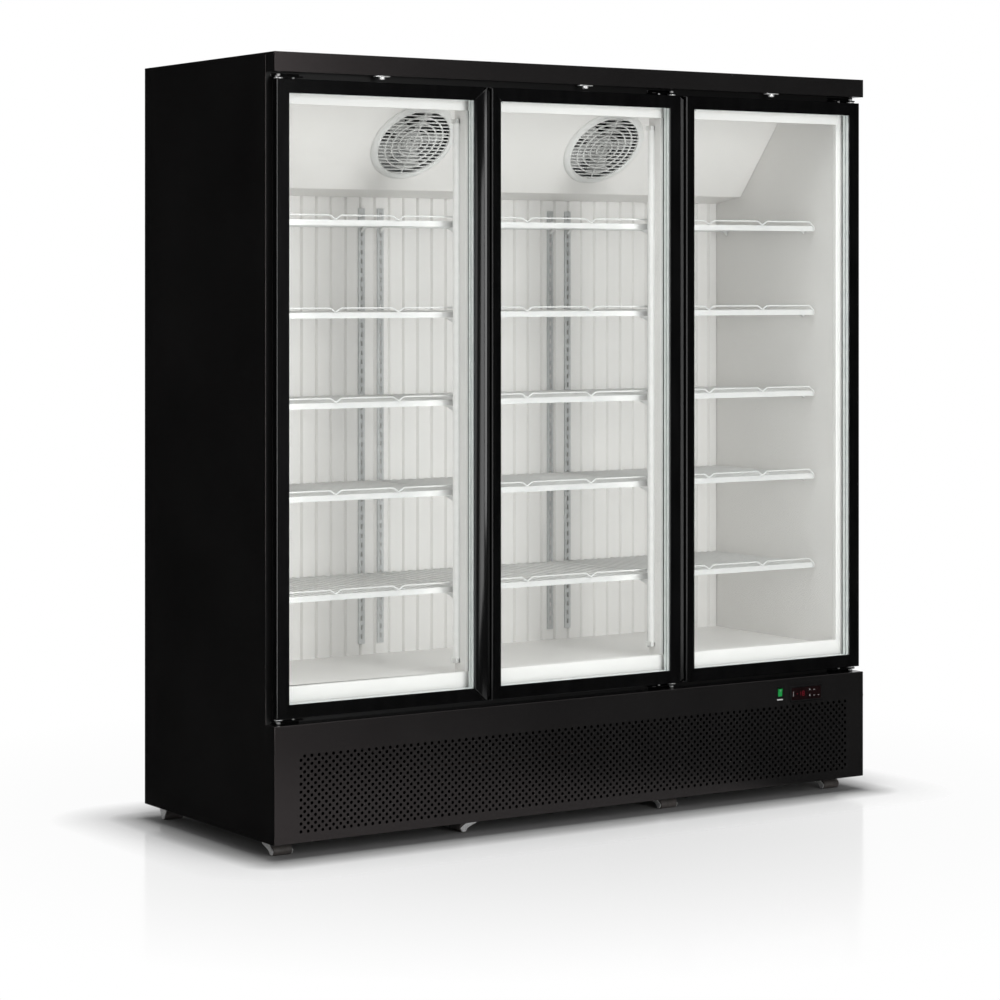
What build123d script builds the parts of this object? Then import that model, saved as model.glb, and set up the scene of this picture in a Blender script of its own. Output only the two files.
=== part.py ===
"""Upright display freezer with three glass doors, in millimetres.

X runs to the right, Y to the back and Z up. The origin is on the floor under the middle of the freezer.
Doors 2 and 3 hang on their right side, door 1 on its left side.
"""
import os
from math import hypot, radians, tan

from build123d import *

# Casing
width = 1880.0
height = 1990.0
depth = 710.0
ground_gap = 40.0
sheet = 1.5
skirt_return = 15.0
header_height = 49.0
header_lip = 30.0
base_height = 292.0
base_return = 12.0

# Insulated cabinet
wall_thick = 60.0
top_thick = 65.0
back_thick = 65.0
floor_thick = 60.0
deck_height = 405.0
liner = 1.0
surround_depth = 15.0
opening_drop = 60.0
sill_rise = 15.0
sill_lap = 10.0

# Doors
door_count = 3
hinge_side = (-1, 1, 1)
door_gap = 12.0
side_reveal = 10.0
door_top_gap = 17.0
door_bottom_gap = 15.0
door_recess = 6.0
door_thick = 36.0
edge_chamfer = 7.0
frame_face = 35.0
frame_wall = 27.0
flange = 3.0
seat_gap = 0.3
pane = 4.0
cavity = 9.0
pane_count = 3
spacer_width = 7.0
gasket_width = 10.0
gasket_thick = 4.7
gasket_gap = 0.3

# Grip lip along the handle stile
handle_proud = 4.0
lip_flat = 3.0
lip_tip = 4.0
grip_depth = 9.0
grip_open = 18.0
grip_slope = 5.0
swell_share = 0.38

# Hinges and locks
hinge_in = 15.0
hinge_back = 21.0
pin_radius = 4.0
pin_play = 0.05
pin_reach = 9.0
pin_end_gap = 1.0
hinge_gap = 0.3
collar_height = 4.0
collar_radius = 8.0
plate_thick = 3.0
plate_length = 80.0
plate_nose = 12.0
lock_width = 44.0
lock_depth = 18.0
lock_plate = 2.0
lock_radius = 8.0
lock_height = 7.0

# Mullions and lamps
mullion_width = 80.0
mullion_depth = 60.0
mullion_corner = 5.0
lamp_width = 24.0
lamp_proud = 12.0
lamp_base = 5.0
lamp_setback = 42.0
lamp_end_gap = 20.0

# Shelves, pilasters and clips
shelf_shares = (0.18, 0.3816, 0.5688, 0.752, 0.9408)
shelf_front_gap = 134.0
shelf_rim = 16.0
shelf_rim_width = 8.0
shelf_thick = 8.0
shelf_bar = 6.0
shelf_panel_count = 3
shelf_side_gap = 3.0
shelf_play = 1.0
rail_height = 14.0
rail_wire = 4.0
rail_dips = 2
rail_dip_width = 34.0
rail_end = 20.0
pilaster_width = 20.0
pilaster_thick = 4.0
pilaster_front = 139.0
pilaster_rear = 48.0
pilaster_offset = 30.0
pilaster_foot = 30.0
clip_width = 10.0
clip_reach = 18.0
clip_drop = 14.0

# Air duct and evaporator
duct_gap = 42.0
rib_pitch = 46.0
rib_depth = 8.0
rib_groove = 10.0
cover_top_run = 219.0
cover_knee_run = 431.0
cover_knee_drop = 253.0
cover_tail_drop = 17.0
side_play = 1.0
evaporator_length = 1560.0
evaporator_depth = 80.0
evaporator_height = 190.0
evaporator_gap = 55.0
fin_pitch = 160.0
fin_thick = 3.0
end_plate = 2.0

# Fans, motors and guards
fan_radius = 105.0
fan_gap = 4.0
hub_radius = 30.0
hub_height = 24.0
blade_count = 5
blade_thick = 2.0
blade_root = 26.0
blade_tip = 60.0
blade_pitch = 28.0
hub_sides = 10
opening_sides = 24
fan_setback = 7.0
motor_size = 64.0
motor_length = 48.0
shaft_radius = 4.0
shaft_play = 0.05
strap_width = 26.0
strap_thick = 3.0
strap_gap = 5.0
guard_radius = 125.0
guard_sides = 36
guard_rim = 14.0
guard_height = 8.0
guard_slot_count = 5
guard_bar = 12.0
guard_rib = 10.0
guard_slot_limit = 0.9

# Machine compartment
frame_lift = 10.0
rail_size = 40.0
rail_wall = 3.0
deck_plate = 2.0
post_size = 32.0
compressor_in = 380.0
compressor_setback = 200.0
compressor_radius = 84.0
compressor_height = 190.0
compressor_shoulder = 44.0
compressor_sides = 24
foot_height = 14.0
foot_size = 22.0
foot_plate = 4.0
foot_margin = 24.0
condenser_in = 560.0
condenser_length = 420.0
condenser_depth = 60.0
condenser_headroom = 27.0
condenser_fan_margin = 8.0
condenser_setback = 60.0
shroud_wall = 2.0
tray_length = 420.0
tray_depth = 180.0
tray_height = 34.0
tray_x = -60.0
tray_back_gap = 60.0
pipe_radius = 5.0
pipe_bend = 20.0
pipe_play = 0.3
discharge_share = 0.3
suction_share = 0.45

# Base grille and controls
grille_left = 74.0
grille_right = 66.0
grille_bottom = 30.0
grille_top = 78.0
grille_columns = 17
grille_rows = 2
hole_radius = 28.0
switch_in = 298.0
switch_drop = 36.0
switch_width = 20.0
switch_height = 30.0
switch_bezel = 1.0
switch_wall = 1.4
switch_depth = 24.0
rocker_play = 0.3
rocker_pivot = 3.0
rocker_pin = 1.0
rocker_tilt = 7.0
rocker_shoulder = 0.7
thermostat_in = 207.0
thermostat_drop = 44.0
thermostat_width = 113.0
thermostat_height = 44.0
thermostat_bezel = 4.0
thermostat_rim = 4.0
thermostat_depth = 50.0
thermostat_window = 1.0

# Castors
castor_in = 60.0
castor_yaws = (-90.0, 180.0, -90.0, -90.0)
castor_front = 57.5
castor_rear = 45.0
shaft_sides = 12
castor_plate = 60.0
castor_plate_thick = 3.0
castor_trail = 28.0
wheel_radius = 12.0
wheel_width = 52.0
wheel_sides = 24
wheel_play = 0.5
axle_radius = 3.0
axle_play = 0.05
cheek_thick = 2.5
cheek_radius = 11.0
cheek_nose = 0.85
crown_gap = 2.2
crown_thick = 3.5
swivel_gap = 0.3
swivel_collar_radius = 18.0
king_radius = 3.0
king_play = 0.05
king_head = 2.0
king_head_radius = 7.0

# Places worked out from the sizes above
half = width / 2
front = (handle_proud - depth) / 2
back = front + depth
body_front = front + door_recess + door_thick + gasket_thick + gasket_gap
header_bottom = height - header_height
base_top = ground_gap + base_height
inner_half = half - wall_thick
ceiling = height - top_thick
back_inner = back - back_thick
floor_bottom = deck_height - floor_thick
door_width = (width - 2 * side_reveal - (door_count - 1) * door_gap) / door_count
door_pitch = door_width + door_gap
door_top = header_bottom - door_top_gap
door_bottom = base_top + door_bottom_gap
door_face = front + door_recess
door_back = door_face + door_thick
pin_y = door_face + hinge_back
hinge_leg = door_bottom_gap - 2 * hinge_gap - collar_height - plate_thick
mullion_x = door_pitch / 2
mullion_back = body_front + mullion_depth
duct_back = back_inner - duct_gap
duct_front = duct_back - rib_depth
shelf_front = front + shelf_front_gap
shelf_back = duct_front - pilaster_thick - shelf_play
frame_bottom = ground_gap + frame_lift
deck_top = frame_bottom + rail_size + deck_plate
cover_top_y = body_front + cover_top_run
cover_knee_y = body_front + cover_knee_run
cover_knee_z = ceiling - cover_knee_drop
cover_tail_z = cover_knee_z - cover_tail_drop
opening_top = ceiling - opening_drop
sill_top = deck_height + sill_rise
sill_bottom = base_top - sill_lap
shelf_levels = [deck_height + share * (cover_tail_z - deck_height) for share in shelf_shares]
compressor_x = compressor_in - half
condenser_x = half - condenser_in
condenser_height = floor_bottom - deck_top - condenser_headroom
condenser_fan_radius = condenser_height / 2 - condenser_fan_margin
switch_x = half - switch_in
switch_z = base_top - switch_drop
thermostat_x = half - thermostat_in
thermostat_z = base_top - thermostat_drop
castor_columns = (castor_in - half, -mullion_x, mullion_x, half - castor_in)


def block(x0, x1, y0, y1, z0, z1):
    """Straight-sided block between two corners."""
    return Pos((x0 + x1) / 2, (y0 + y1) / 2, (z0 + z1) / 2) * Box(x1 - x0, y1 - y0, z1 - z0)


def face_of(points):
    """Flat face with its corners in counter-clockwise order."""
    pairs = zip(points, points[1:] + points[:1])
    area = sum(a[0] * b[1] - b[0] * a[1] for a, b in pairs)
    return Polygon(*(points if area > 0 else points[::-1]), align=None)


def ribbon(points, thick):
    """Outline of a bent strip of even thickness that lies on the left of a line through the points."""
    shifted = []
    last = len(points) - 1
    for i, (a, b) in enumerate(points):
        before, after = points[max(i - 1, 0)], points[min(i + 1, last)]
        ways = []
        for p, q in ((before, (a, b)), ((a, b), after)):
            run = hypot(q[0] - p[0], q[1] - p[1])
            if run:
                ways.append(((p[1] - q[1]) / run, (q[0] - p[0]) / run))
        n0, n1 = ways[0], ways[-1]
        scale = thick / (1 + n0[0] * n1[0] + n0[1] * n1[1])
        shifted.append((a + scale * (n0[0] + n1[0]), b + scale * (n0[1] + n1[1])))
    return points + shifted[::-1]


def along_x(points, x0, x1):
    """Outline in Y and Z carried along X."""
    return extrude(Plane.YZ.offset(x0) * face_of(points), amount=x1 - x0)


def along_y(points, y0, y1):
    """Outline in X and Z carried along Y."""
    return extrude(Plane.XZ.offset(-y1) * face_of(points), amount=y1 - y0)


def along_z(points, z0, z1):
    """Outline in X and Y carried along Z."""
    return extrude(Plane.XY.offset(z0) * face_of(points), amount=z1 - z0)


def disc(x, y, z0, z1, radius):
    """Upright round bar."""
    return Pos(x, y, (z0 + z1) / 2) * Cylinder(radius, z1 - z0)


def bar_y(x, z, y0, y1, radius):
    """Round bar lying along Y."""
    return Pos(x, (y0 + y1) / 2, z) * Rot(90, 0, 0) * Cylinder(radius, y1 - y0)


def bar_x(y, z, x0, x1, radius):
    """Round bar lying along X."""
    return Pos((x0 + x1) / 2, y, z) * Rot(0, 90, 0) * Cylinder(radius, x1 - x0)


def save(node, *pieces):
    """Writes one node, which may be a group of separate solids."""
    solids = [solid for piece in pieces for solid in piece.solids()]
    shape = solids[0] if len(solids) == 1 else Compound(children=solids)
    export_step(shape, f"parts/{node}.step")


def casing():
    """Side, top and back sheets, the header box and the base box, which is open behind."""
    for name, side in (("left", -1), ("right", 1)):
        outline = [
            (side * half, ground_gap),
            (side * half, height),
            (side * (half - sheet), height),
            (side * (half - sheet), ground_gap + sheet),
            (side * (half - sheet - skirt_return), ground_gap + sheet),
            (side * (half - sheet - skirt_return), ground_gap),
        ]
        save(f"{name}_side_panel", along_y(outline, body_front, back))
    inside = half - sheet
    save("top_panel", block(-inside, inside, body_front, back, height - sheet, height))

    rear = block(-inside, inside, back - sheet, back, ground_gap + sheet, height - sheet)
    vent_rows = 6
    vent_pitch = (floor_bottom - deck_top) / (vent_rows + 1)
    vent_length = inside / 2
    vent_height = vent_pitch / 3
    for row in range(vent_rows):
        z = deck_top + (row + 1) * vent_pitch
        for x in (-inside / 2, inside / 2):
            rear -= Pos(x, back, z) * Box(vent_length, 4 * sheet, vent_height)
    save("back_panel", rear)

    header = block(-half, half, front, body_front, header_bottom, height)
    header -= block(-inside, inside, front + sheet, body_front, header_bottom + sheet, height - sheet)
    header -= block(-inside, inside, front + sheet + header_lip, body_front, header_bottom, height - sheet)
    save("header_panel", header)


def base_panel():
    """Folded front panel with a staggered field of holes and the cut-outs for the switch and the thermostat."""
    inside = half - sheet
    panel = block(-half, half, front, body_front, ground_gap, base_top)
    panel -= block(-inside, inside, front + sheet, body_front, ground_gap + sheet, base_top - sheet)
    panel -= block(-inside, inside, front + sheet + base_return, body_front, ground_gap, base_top - sheet)
    left = -half + grille_left + hole_radius
    right = half - grille_right - hole_radius
    low = ground_gap + grille_bottom + hole_radius
    high = base_top - grille_top - hole_radius
    column_pitch = (right - left) / (grille_columns - 1)
    row_pitch = (high - low) / (grille_rows - 0.5)
    places = [
        (left + column * column_pitch, low + (row + 0.5 * (column % 2)) * row_pitch)
        for column in range(grille_columns)
        for row in range(grille_rows)
    ]
    holes = Sketch() + [Pos(x, z) * RegularPolygon(hole_radius, 6) for x, z in places]
    panel -= extrude(Plane.XZ.offset(-front - 2 * sheet) * holes, amount=4 * sheet)
    for x, z, w, h in (
        (switch_x, switch_z, switch_width - 2 * switch_wall, switch_height - 2 * switch_wall),
        (thermostat_x, thermostat_z, thermostat_width - 2 * thermostat_rim, thermostat_height - 2 * thermostat_rim),
    ):
        panel -= Pos(x, front, z) * Box(w + 2 * seat_gap, 4 * sheet, h + 2 * seat_gap)
    save("base_panel", panel)


def cabinet():
    """Foam slabs, the inner liner, the door surround and the mullions."""
    inside = half - sheet
    foam_front = body_front + surround_depth
    foam_back = back - sheet
    shell = inner_half + liner
    foam_floor = block(-shell, shell, foam_front, foam_back, floor_bottom, deck_height - liner)
    foam_floor -= pipe_hole(floor_bottom, deck_height)
    save(
        "insulation",
        block(-inside, -shell, foam_front, foam_back, floor_bottom, height - sheet),
        block(shell, inside, foam_front, foam_back, floor_bottom, height - sheet),
        block(-shell, shell, foam_front, foam_back, ceiling + liner, height - sheet),
        foam_floor,
        block(-shell, shell, back_inner + liner, foam_back, deck_height - liner, ceiling + liner),
    )
    lining = block(-shell, shell, foam_front, back_inner + liner, deck_height - liner, ceiling + liner)
    lining -= block(-inner_half, inner_half, foam_front, back_inner, deck_height, ceiling)
    lining -= pipe_hole(deck_height - liner, deck_height)
    save("inner_liner", lining)

    bars = [
        block(-inside, inside, body_front, foam_front, opening_top, height - sheet),
        block(-inside, inside, body_front, foam_front, sill_bottom, sill_top),
        block(-inside, -inner_half, body_front, foam_front, sill_top, opening_top),
        block(inner_half, inside, body_front, foam_front, sill_top, opening_top),
    ]
    save("front_frame", *bars)

    posts = []
    reach, corner = mullion_width / 2, mullion_corner
    for x in (-mullion_x, mullion_x):
        section = [
            (x - reach + corner, body_front),
            (x + reach - corner, body_front),
            (x + reach, body_front + corner),
            (x + reach, mullion_back - corner),
            (x + reach - corner, mullion_back),
            (x - reach + corner, mullion_back),
            (x - reach, mullion_back - corner),
            (x - reach, body_front + corner),
        ]
        post = along_z(section, deck_height, ceiling)
        for low, high in ((deck_height, sill_top), (opening_top, ceiling)):
            post -= block(x - reach, x + reach, body_front, foam_front, low, high)
        posts.append(post)
    save("mullions", *posts)

    lamps = []
    for x in (-mullion_x, mullion_x):
        for side in (-1, 1):
            lamps.append(lamp(x + side * mullion_width / 2, side))
    save("led_lamps", *lamps)


def lamp(x, side):
    """Lamp channel on a mullion's flank with a bevelled diffuser, carried upwards."""
    y0 = body_front + lamp_setback - lamp_width / 2
    y1 = y0 + lamp_width
    bevel = lamp_width / 4
    section = [
        (x, y0),
        (x + side * lamp_base, y0),
        (x + side * lamp_proud, y0 + bevel),
        (x + side * lamp_proud, y1 - bevel),
        (x + side * lamp_base, y1),
        (x, y1),
    ]
    return along_z(section, sill_top + lamp_end_gap, opening_top - lamp_end_gap)


def plain_outline():
    """Door profile: distance in from the door's edge, and Y. The flange laps the glass, the back corner is cut."""
    return make_face(
        Polyline(
            (0, door_face),
            (frame_face, door_face),
            (frame_face, door_face + flange),
            (frame_wall, door_face + flange),
            (frame_wall, door_back),
            (edge_chamfer, door_back),
            (0, door_back - edge_chamfer),
            close=True,
        )
    )


def grip_outline():
    """Handle profile: the face swells forward into a lip, with a finger groove behind it in the door's edge."""
    lip = front - handle_proud
    swell = ThreePointArc(
        (lip_flat, lip),
        ((lip_flat + frame_face) / 2, lip + (door_face - lip) * swell_share),
        (frame_face, door_face),
    )
    rest = Polyline(
        (frame_face, door_face),
        (frame_face, door_face + flange),
        (frame_wall, door_face + flange),
        (frame_wall, door_back),
        (edge_chamfer, door_back),
        (0, door_back - edge_chamfer),
        (0, door_face + grip_open),
        (grip_depth, door_face + grip_open - grip_slope),
        (grip_depth, door_face),
        (0, lip + lip_tip),
        (0, lip + lip_flat / 2),
        (lip_flat, lip),
    )
    return make_face(swell + rest)


def mitred_bar(section, length, reach):
    """Bar along Z from a section in XY, cut at 45 degrees at both ends so that it narrows away from its edge."""
    cut = [(0, 0), (reach, reach), (reach, length - reach), (0, length)]
    return extrude(section, amount=length) & along_y(cut, -depth, depth)


def mitred_ring(x0, x1, z0, z1, reach, sections):
    """Four mitred bars round an upright rectangle, in the order left, top, right, bottom."""
    tall, wide = z1 - z0, x1 - x0
    places = [
        (Pos(x0, 0, z0) * Rot(0, 0, 0), tall),
        (Pos(x0, 0, z1) * Rot(0, 90, 0), wide),
        (Pos(x1, 0, z1) * Rot(0, 180, 0), tall),
        (Pos(x1, 0, z0) * Rot(0, -90, 0), wide),
    ]
    return [
        place * mitred_bar(section, length, reach)
        for (place, length), section in zip(places, sections)
    ]


def door(index, name):
    """One door: mitred frame with a grip stile, a sealed glass unit and the gasket behind it."""
    centre = (index - (door_count - 1) / 2) * door_pitch
    x0, x1 = centre - door_width / 2, centre + door_width / 2
    side = hinge_side[index]
    pin_x = centre + side * (door_width / 2 - hinge_in)
    plain, grip = plain_outline(), grip_outline()
    left, right = (plain, grip) if side < 0 else (grip, plain)
    bars = mitred_ring(x0, x1, door_bottom, door_top, frame_face, [left, plain, right, plain])
    bore = pin_radius + pin_play
    deep = pin_reach + pin_end_gap
    for z0, z1 in ((door_top - deep, door_top + sheet), (door_bottom - sheet, door_bottom + deep)):
        hole = disc(pin_x, pin_y, z0, z1, bore)
        bars = [bar - hole for bar in bars]
    save(f"{name}_frame", *bars)

    edge = frame_wall + seat_gap
    glass_y = door_face + flange + seat_gap
    left_x, right_x = x0 + edge, x1 - edge
    low, high = door_bottom + edge, door_top - edge
    panes, spacers = [], []
    for layer in range(pane_count):
        y = glass_y + layer * (pane + cavity)
        panes.append(block(left_x, right_x, y, y + pane, low, high))
    for layer in range(pane_count - 1):
        y = glass_y + pane + layer * (pane + cavity)
        ring = block(left_x, right_x, y, y + cavity, low, high)
        ring -= block(
            left_x + spacer_width, right_x - spacer_width, y, y + cavity, low + spacer_width, high - spacer_width
        )
        spacers.append(ring)
    save(f"{name}_glass", *panes)
    save(f"{name}_spacers", *spacers)

    gasket_in = hinge_in + side_play
    seal = Pos(gasket_width / 2, door_back + gasket_thick / 2) * Rectangle(gasket_width, gasket_thick)
    save(
        f"{name}_gasket",
        *mitred_ring(
            x0 + gasket_in, x1 - gasket_in, door_bottom + gasket_in, door_top - gasket_in, gasket_width, [seal] * 4
        ),
    )


def hinge(index, top):
    """Angle bracket with a bevelled nose round the pin, and a leg on the cabinet's face."""
    centre = (index - (door_count - 1) / 2) * door_pitch
    side = hinge_side[index]
    x = centre + side * (door_width / 2 - hinge_in)
    up = 1 if top else -1
    edge = door_top if top else door_bottom
    near = edge + up * (hinge_gap + collar_height)
    far = near + up * plate_thick
    outer_x = x + side * plate_nose
    inner_x = x - side * (plate_length - plate_nose)
    nose = pin_y - plate_nose
    bevel = plate_nose / 2
    section = [
        (inner_x, body_front),
        (inner_x, nose + bevel),
        (inner_x + side * bevel, nose),
        (outer_x - side * bevel, nose),
        (outer_x, nose + bevel),
        (outer_x, body_front),
    ]
    plate = along_z(section, *sorted((near, far)))
    leg_low, leg_high = sorted((near, far + up * hinge_leg))
    plate += block(*sorted((outer_x, inner_x)), body_front - plate_thick, body_front, leg_low, leg_high)
    collar = Pos(x, pin_y) * RegularPolygon(collar_radius, 8)
    plate += extrude(Plane.XY.offset(min(near, edge + up * hinge_gap)) * collar, amount=collar_height)
    plate += disc(x, pin_y, *sorted((edge - up * pin_reach, near)), pin_radius)
    return plate


def door_fittings():
    """Hinge brackets of every door, and the lock under the header over the middle of each door."""
    save("hinge_brackets", *[hinge(i, top) for i in range(door_count) for top in (True, False)])
    locks = []
    y = front + sheet + header_lip / 2
    low = header_bottom - lock_plate - lock_height
    for index in range(door_count):
        x = (index - (door_count - 1) / 2) * door_pitch
        body = Pos(x, y, header_bottom - lock_plate / 2) * Box(lock_width, lock_depth, lock_plate)
        boss = Pos(x, y) * RegularPolygon(lock_radius, 8)
        body += extrude(Plane.XY.offset(low) * boss, amount=lock_height)
        locks.append(body)
    save("door_locks", *locks)


def bays():
    """Left and right end of the shelves in each bay."""
    outer = inner_half - pilaster_thick - shelf_play
    return (
        ("left", -outer, -mullion_x - shelf_side_gap),
        ("middle", -mullion_x + shelf_side_gap, mullion_x - shelf_side_gap),
        ("right", mullion_x + shelf_side_gap, outer),
    )


def shelf(x0, x1, top):
    """Open shelf: a rim with bars running front to back, and a raised front rail that dips at each third."""
    rim = shelf_rim_width
    y0 = shelf_front + rail_wire
    tray = block(x0, x1, y0, shelf_back, top - shelf_thick, top)
    wide = (x1 - x0 - 2 * rim - (shelf_panel_count - 1) * shelf_bar) / shelf_panel_count
    for gap in range(shelf_panel_count):
        x = x0 + rim + gap * (wide + shelf_bar)
        tray -= block(x, x + wide, y0 + rim, shelf_back - rim, top - shelf_thick, top)
    return [tray, front_rail(x0, x1, top)]


def front_rail(x0, x1, top):
    """Rail along the shelf's front edge, with bent-down ends and a notch at each third, seen from the front."""
    third = (x1 - x0) / (rail_dips + 1)
    high = top + rail_height
    line = [(x0, top - shelf_rim), (x0, top), (x0 + rail_end, high)]
    for dip in range(1, rail_dips + 1):
        x = x0 + dip * third
        line += [(x - rail_dip_width / 2, high), (x, top + rail_wire), (x + rail_dip_width / 2, high)]
    line += [(x1 - rail_end, high), (x1, top), (x1, top - shelf_rim)]
    return along_y(line, shelf_front, shelf_front + rail_wire)


def pilaster_places():
    """Foot of each shelf pilaster, the direction that it faces and the reach of its clips."""
    places = []
    for side in (-1, 1):
        for y in (body_front + pilaster_front, shelf_back - pilaster_rear):
            places.append((side * inner_half, y, (-side, 0), clip_reach))
    for x in (-mullion_x, mullion_x):
        for offset in (-pilaster_offset, pilaster_offset):
            places.append((x + offset, duct_front, (0, -1), clip_reach))
            places.append((x + offset, mullion_back, (0, 1), shelf_front - mullion_back + clip_reach))
    return places


def facing(x, y, direction):
    """Place whose local X axis points along the direction, with the origin at the foot."""
    turn = {(1, 0): 0, (0, 1): 90, (-1, 0): 180, (0, -1): -90}[direction]
    return Pos(x, y, 0) * Rot(0, 0, turn)


def shelving():
    """Shelves in their bays, the pilasters that carry them and a clip at each corner of each shelf."""
    for name, x0, x1 in bays():
        save(f"shelves_{name}", *[piece for top in shelf_levels for piece in shelf(x0, x1, top)])
    strips, clips = [], []
    low = deck_height + pilaster_foot
    high = cover_tail_z - pilaster_foot
    for x, y, direction, reach in pilaster_places():
        place = facing(x, y, direction)
        strips.append(place * block(0, pilaster_thick, -pilaster_width / 2, pilaster_width / 2, low, high))
        for top in shelf_levels:
            seat = top - (shelf_thick if reach == clip_reach else shelf_rim)
            arm = [(pilaster_thick, seat), (pilaster_thick + reach, seat), (pilaster_thick, seat - clip_drop)]
            clips.append(place * along_y(arm, -clip_width / 2, clip_width / 2))
    save("shelf_pilasters", *strips)
    save("shelf_clips", *clips)


def rear_duct():
    """Panel in front of the back wall, with upright grooves pressed between its ribs."""
    reach = inner_half - side_play
    grooves = int(2 * reach / rib_pitch)
    start = -(grooves - 1) * rib_pitch / 2
    section = [(-reach, duct_back), (-reach, duct_front)]
    for groove in range(grooves):
        x = start + groove * rib_pitch
        section += [(x - rib_groove / 2, duct_front), (x, duct_back - sheet), (x + rib_groove / 2, duct_front)]
    section += [(reach, duct_front), (reach, duct_back)]
    save("back_duct_panel", along_z(section, deck_height, cover_tail_z))


def cover_plane(x):
    """Plane on the slanted cover's front face at a fan's centre, with its normal pointing into the plenum."""
    run, drop = cover_knee_y - cover_top_y, cover_knee_drop
    length = hypot(run, drop)
    middle = (x, (cover_top_y + cover_knee_y) / 2, (ceiling + cover_knee_z) / 2)
    return Plane(origin=middle, x_dir=(1, 0, 0), z_dir=(0, drop / length, run / length))


def condenser_plane():
    """Plane on the fan side of the condenser's shroud, facing back."""
    y = body_front + condenser_setback + condenser_depth
    return Plane(origin=(condenser_x, y, deck_top + condenser_height / 2), x_dir=(1, 0, 0), z_dir=(0, 1, 0))


def fan(place, radius):
    """Axial fan: a hub bored for the shaft, with flared blades set at a pitch round it."""
    middle = fan_setback + hub_height / 2
    wheel = extrude(Plane.XY.offset(fan_setback) * RegularPolygon(hub_radius, hub_sides), amount=hub_height)
    tip = radius - fan_gap
    outline = [(0, -blade_root / 2), (tip, -blade_tip / 2), (tip, blade_tip / 2), (0, blade_root / 2)]
    blade = along_z(outline, -blade_thick / 2, blade_thick / 2)
    for number in range(blade_count):
        wheel += Pos(0, 0, middle) * Rot(0, 0, number * 360 / blade_count) * Rot(blade_pitch, 0, 0) * blade
    wheel -= Pos(0, 0, middle) * Cylinder(shaft_radius + shaft_play, hub_height)
    return place * wheel


def motor(place, foot, radius):
    """Square-framed fan motor with its shaft, on a strap whose legs stand on the sheet at the given height."""
    z0 = fan_setback + hub_height + strap_gap
    size = motor_size / 2
    body = block(-size, size, -size, size, z0 + strap_thick, z0 + strap_thick + motor_length)
    shaft_low = fan_setback + sheet
    body += extrude(Plane.XY.offset(shaft_low) * RegularPolygon(shaft_radius, shaft_sides), amount=z0 - shaft_low)
    reach = radius + strap_gap
    bend = [(-reach, foot), (-reach, z0), (reach, z0), (reach, foot)]
    body += along_y(ribbon(bend, strap_thick), -strap_width / 2, strap_width / 2)
    return place * body


def guard(place):
    """Round fan guard with level slots on both sides of a middle rib. The slots end inside the round rim."""
    plate = extrude(Plane.XY.offset(-guard_height) * RegularPolygon(guard_radius, guard_sides), amount=guard_height)
    clear = guard_radius - guard_rim
    pitch = 2 * clear / guard_slot_count
    for row in range(guard_slot_count):
        y = (row - (guard_slot_count - 1) / 2) * pitch
        edge = abs(y) + (pitch - guard_bar) / 2
        reach = (clear**2 - min(edge, clear * guard_slot_limit) ** 2) ** 0.5
        wide = reach - guard_rib / 2
        for side in (-1, 1):
            x = side * (guard_rib / 2 + wide / 2)
            plate -= Pos(x, y, -guard_height / 2) * Box(wide, pitch - guard_bar, 2 * guard_height)
    return place * plate


def fin_pack(x0, x1, y0, y1, z0, z1):
    """Folded fin strip: one sheet that runs to and fro between the front and the back of the coil."""
    folds = 2 * int((x1 - x0) / fin_pitch)
    step = (x1 - x0 - fin_thick) / folds
    front_side, back_side = [], []
    for fold in range(folds + 1):
        left = x0 + fold * step
        right = left + fin_thick
        if fold % 2 == 0:
            front_side += [(left, y0 + fin_thick if fold else y0), (left, y1)]
            back_side += [(right, y0), (right, y1 - fin_thick)]
        else:
            front_side += [(right, y1), (right, y0 + fin_thick)]
            back_side += [(left, y1 - fin_thick), (left, y0)]
    return along_z(front_side + back_side[::-1], z0, z1)


def evaporator():
    """Slanted cover with its fan openings, the guards, the coil behind it and the fans on their motors."""
    reach = inner_half - side_play
    bend = [(cover_top_y, ceiling), (cover_knee_y, cover_knee_z), (duct_front, cover_tail_z)]
    cover = along_x(ribbon(bend, sheet), -reach, reach)
    cover -= block(-reach, reach, body_front, back, ceiling, ceiling + surround_depth)
    fan_places = [cover_plane(x) for x in (-mullion_x, mullion_x)]
    for place in fan_places:
        hole = RegularPolygon(fan_radius + fan_gap, opening_sides)
        cover -= extrude(place.offset(-sheet) * hole, amount=4 * sheet)
    save("evaporator_cover", cover)
    save("fan_guards", *[guard(place) for place in fan_places])
    for name, place in zip(("left", "right"), fan_places):
        save(f"evaporator_fan_{name}", fan(place, fan_radius))
    motors = [motor(place, sheet, fan_radius) for place in fan_places]
    save("fan_motors", *motors, motor(condenser_plane(), shroud_wall, condenser_fan_radius))
    save("condenser_fan", fan(condenser_plane(), condenser_fan_radius))

    long = evaporator_length / 2
    y1 = back_inner - evaporator_gap
    y0 = y1 - evaporator_depth
    z0 = ceiling - evaporator_height - evaporator_gap / 2
    plates = [
        block(x, x + end_plate, y0, y1, z0, ceiling) for x in (-long - end_plate, long)
    ]
    save("evaporator_coil", fin_pack(-long, long, y0, y1, z0, z0 + evaporator_height), *plates)


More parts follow.
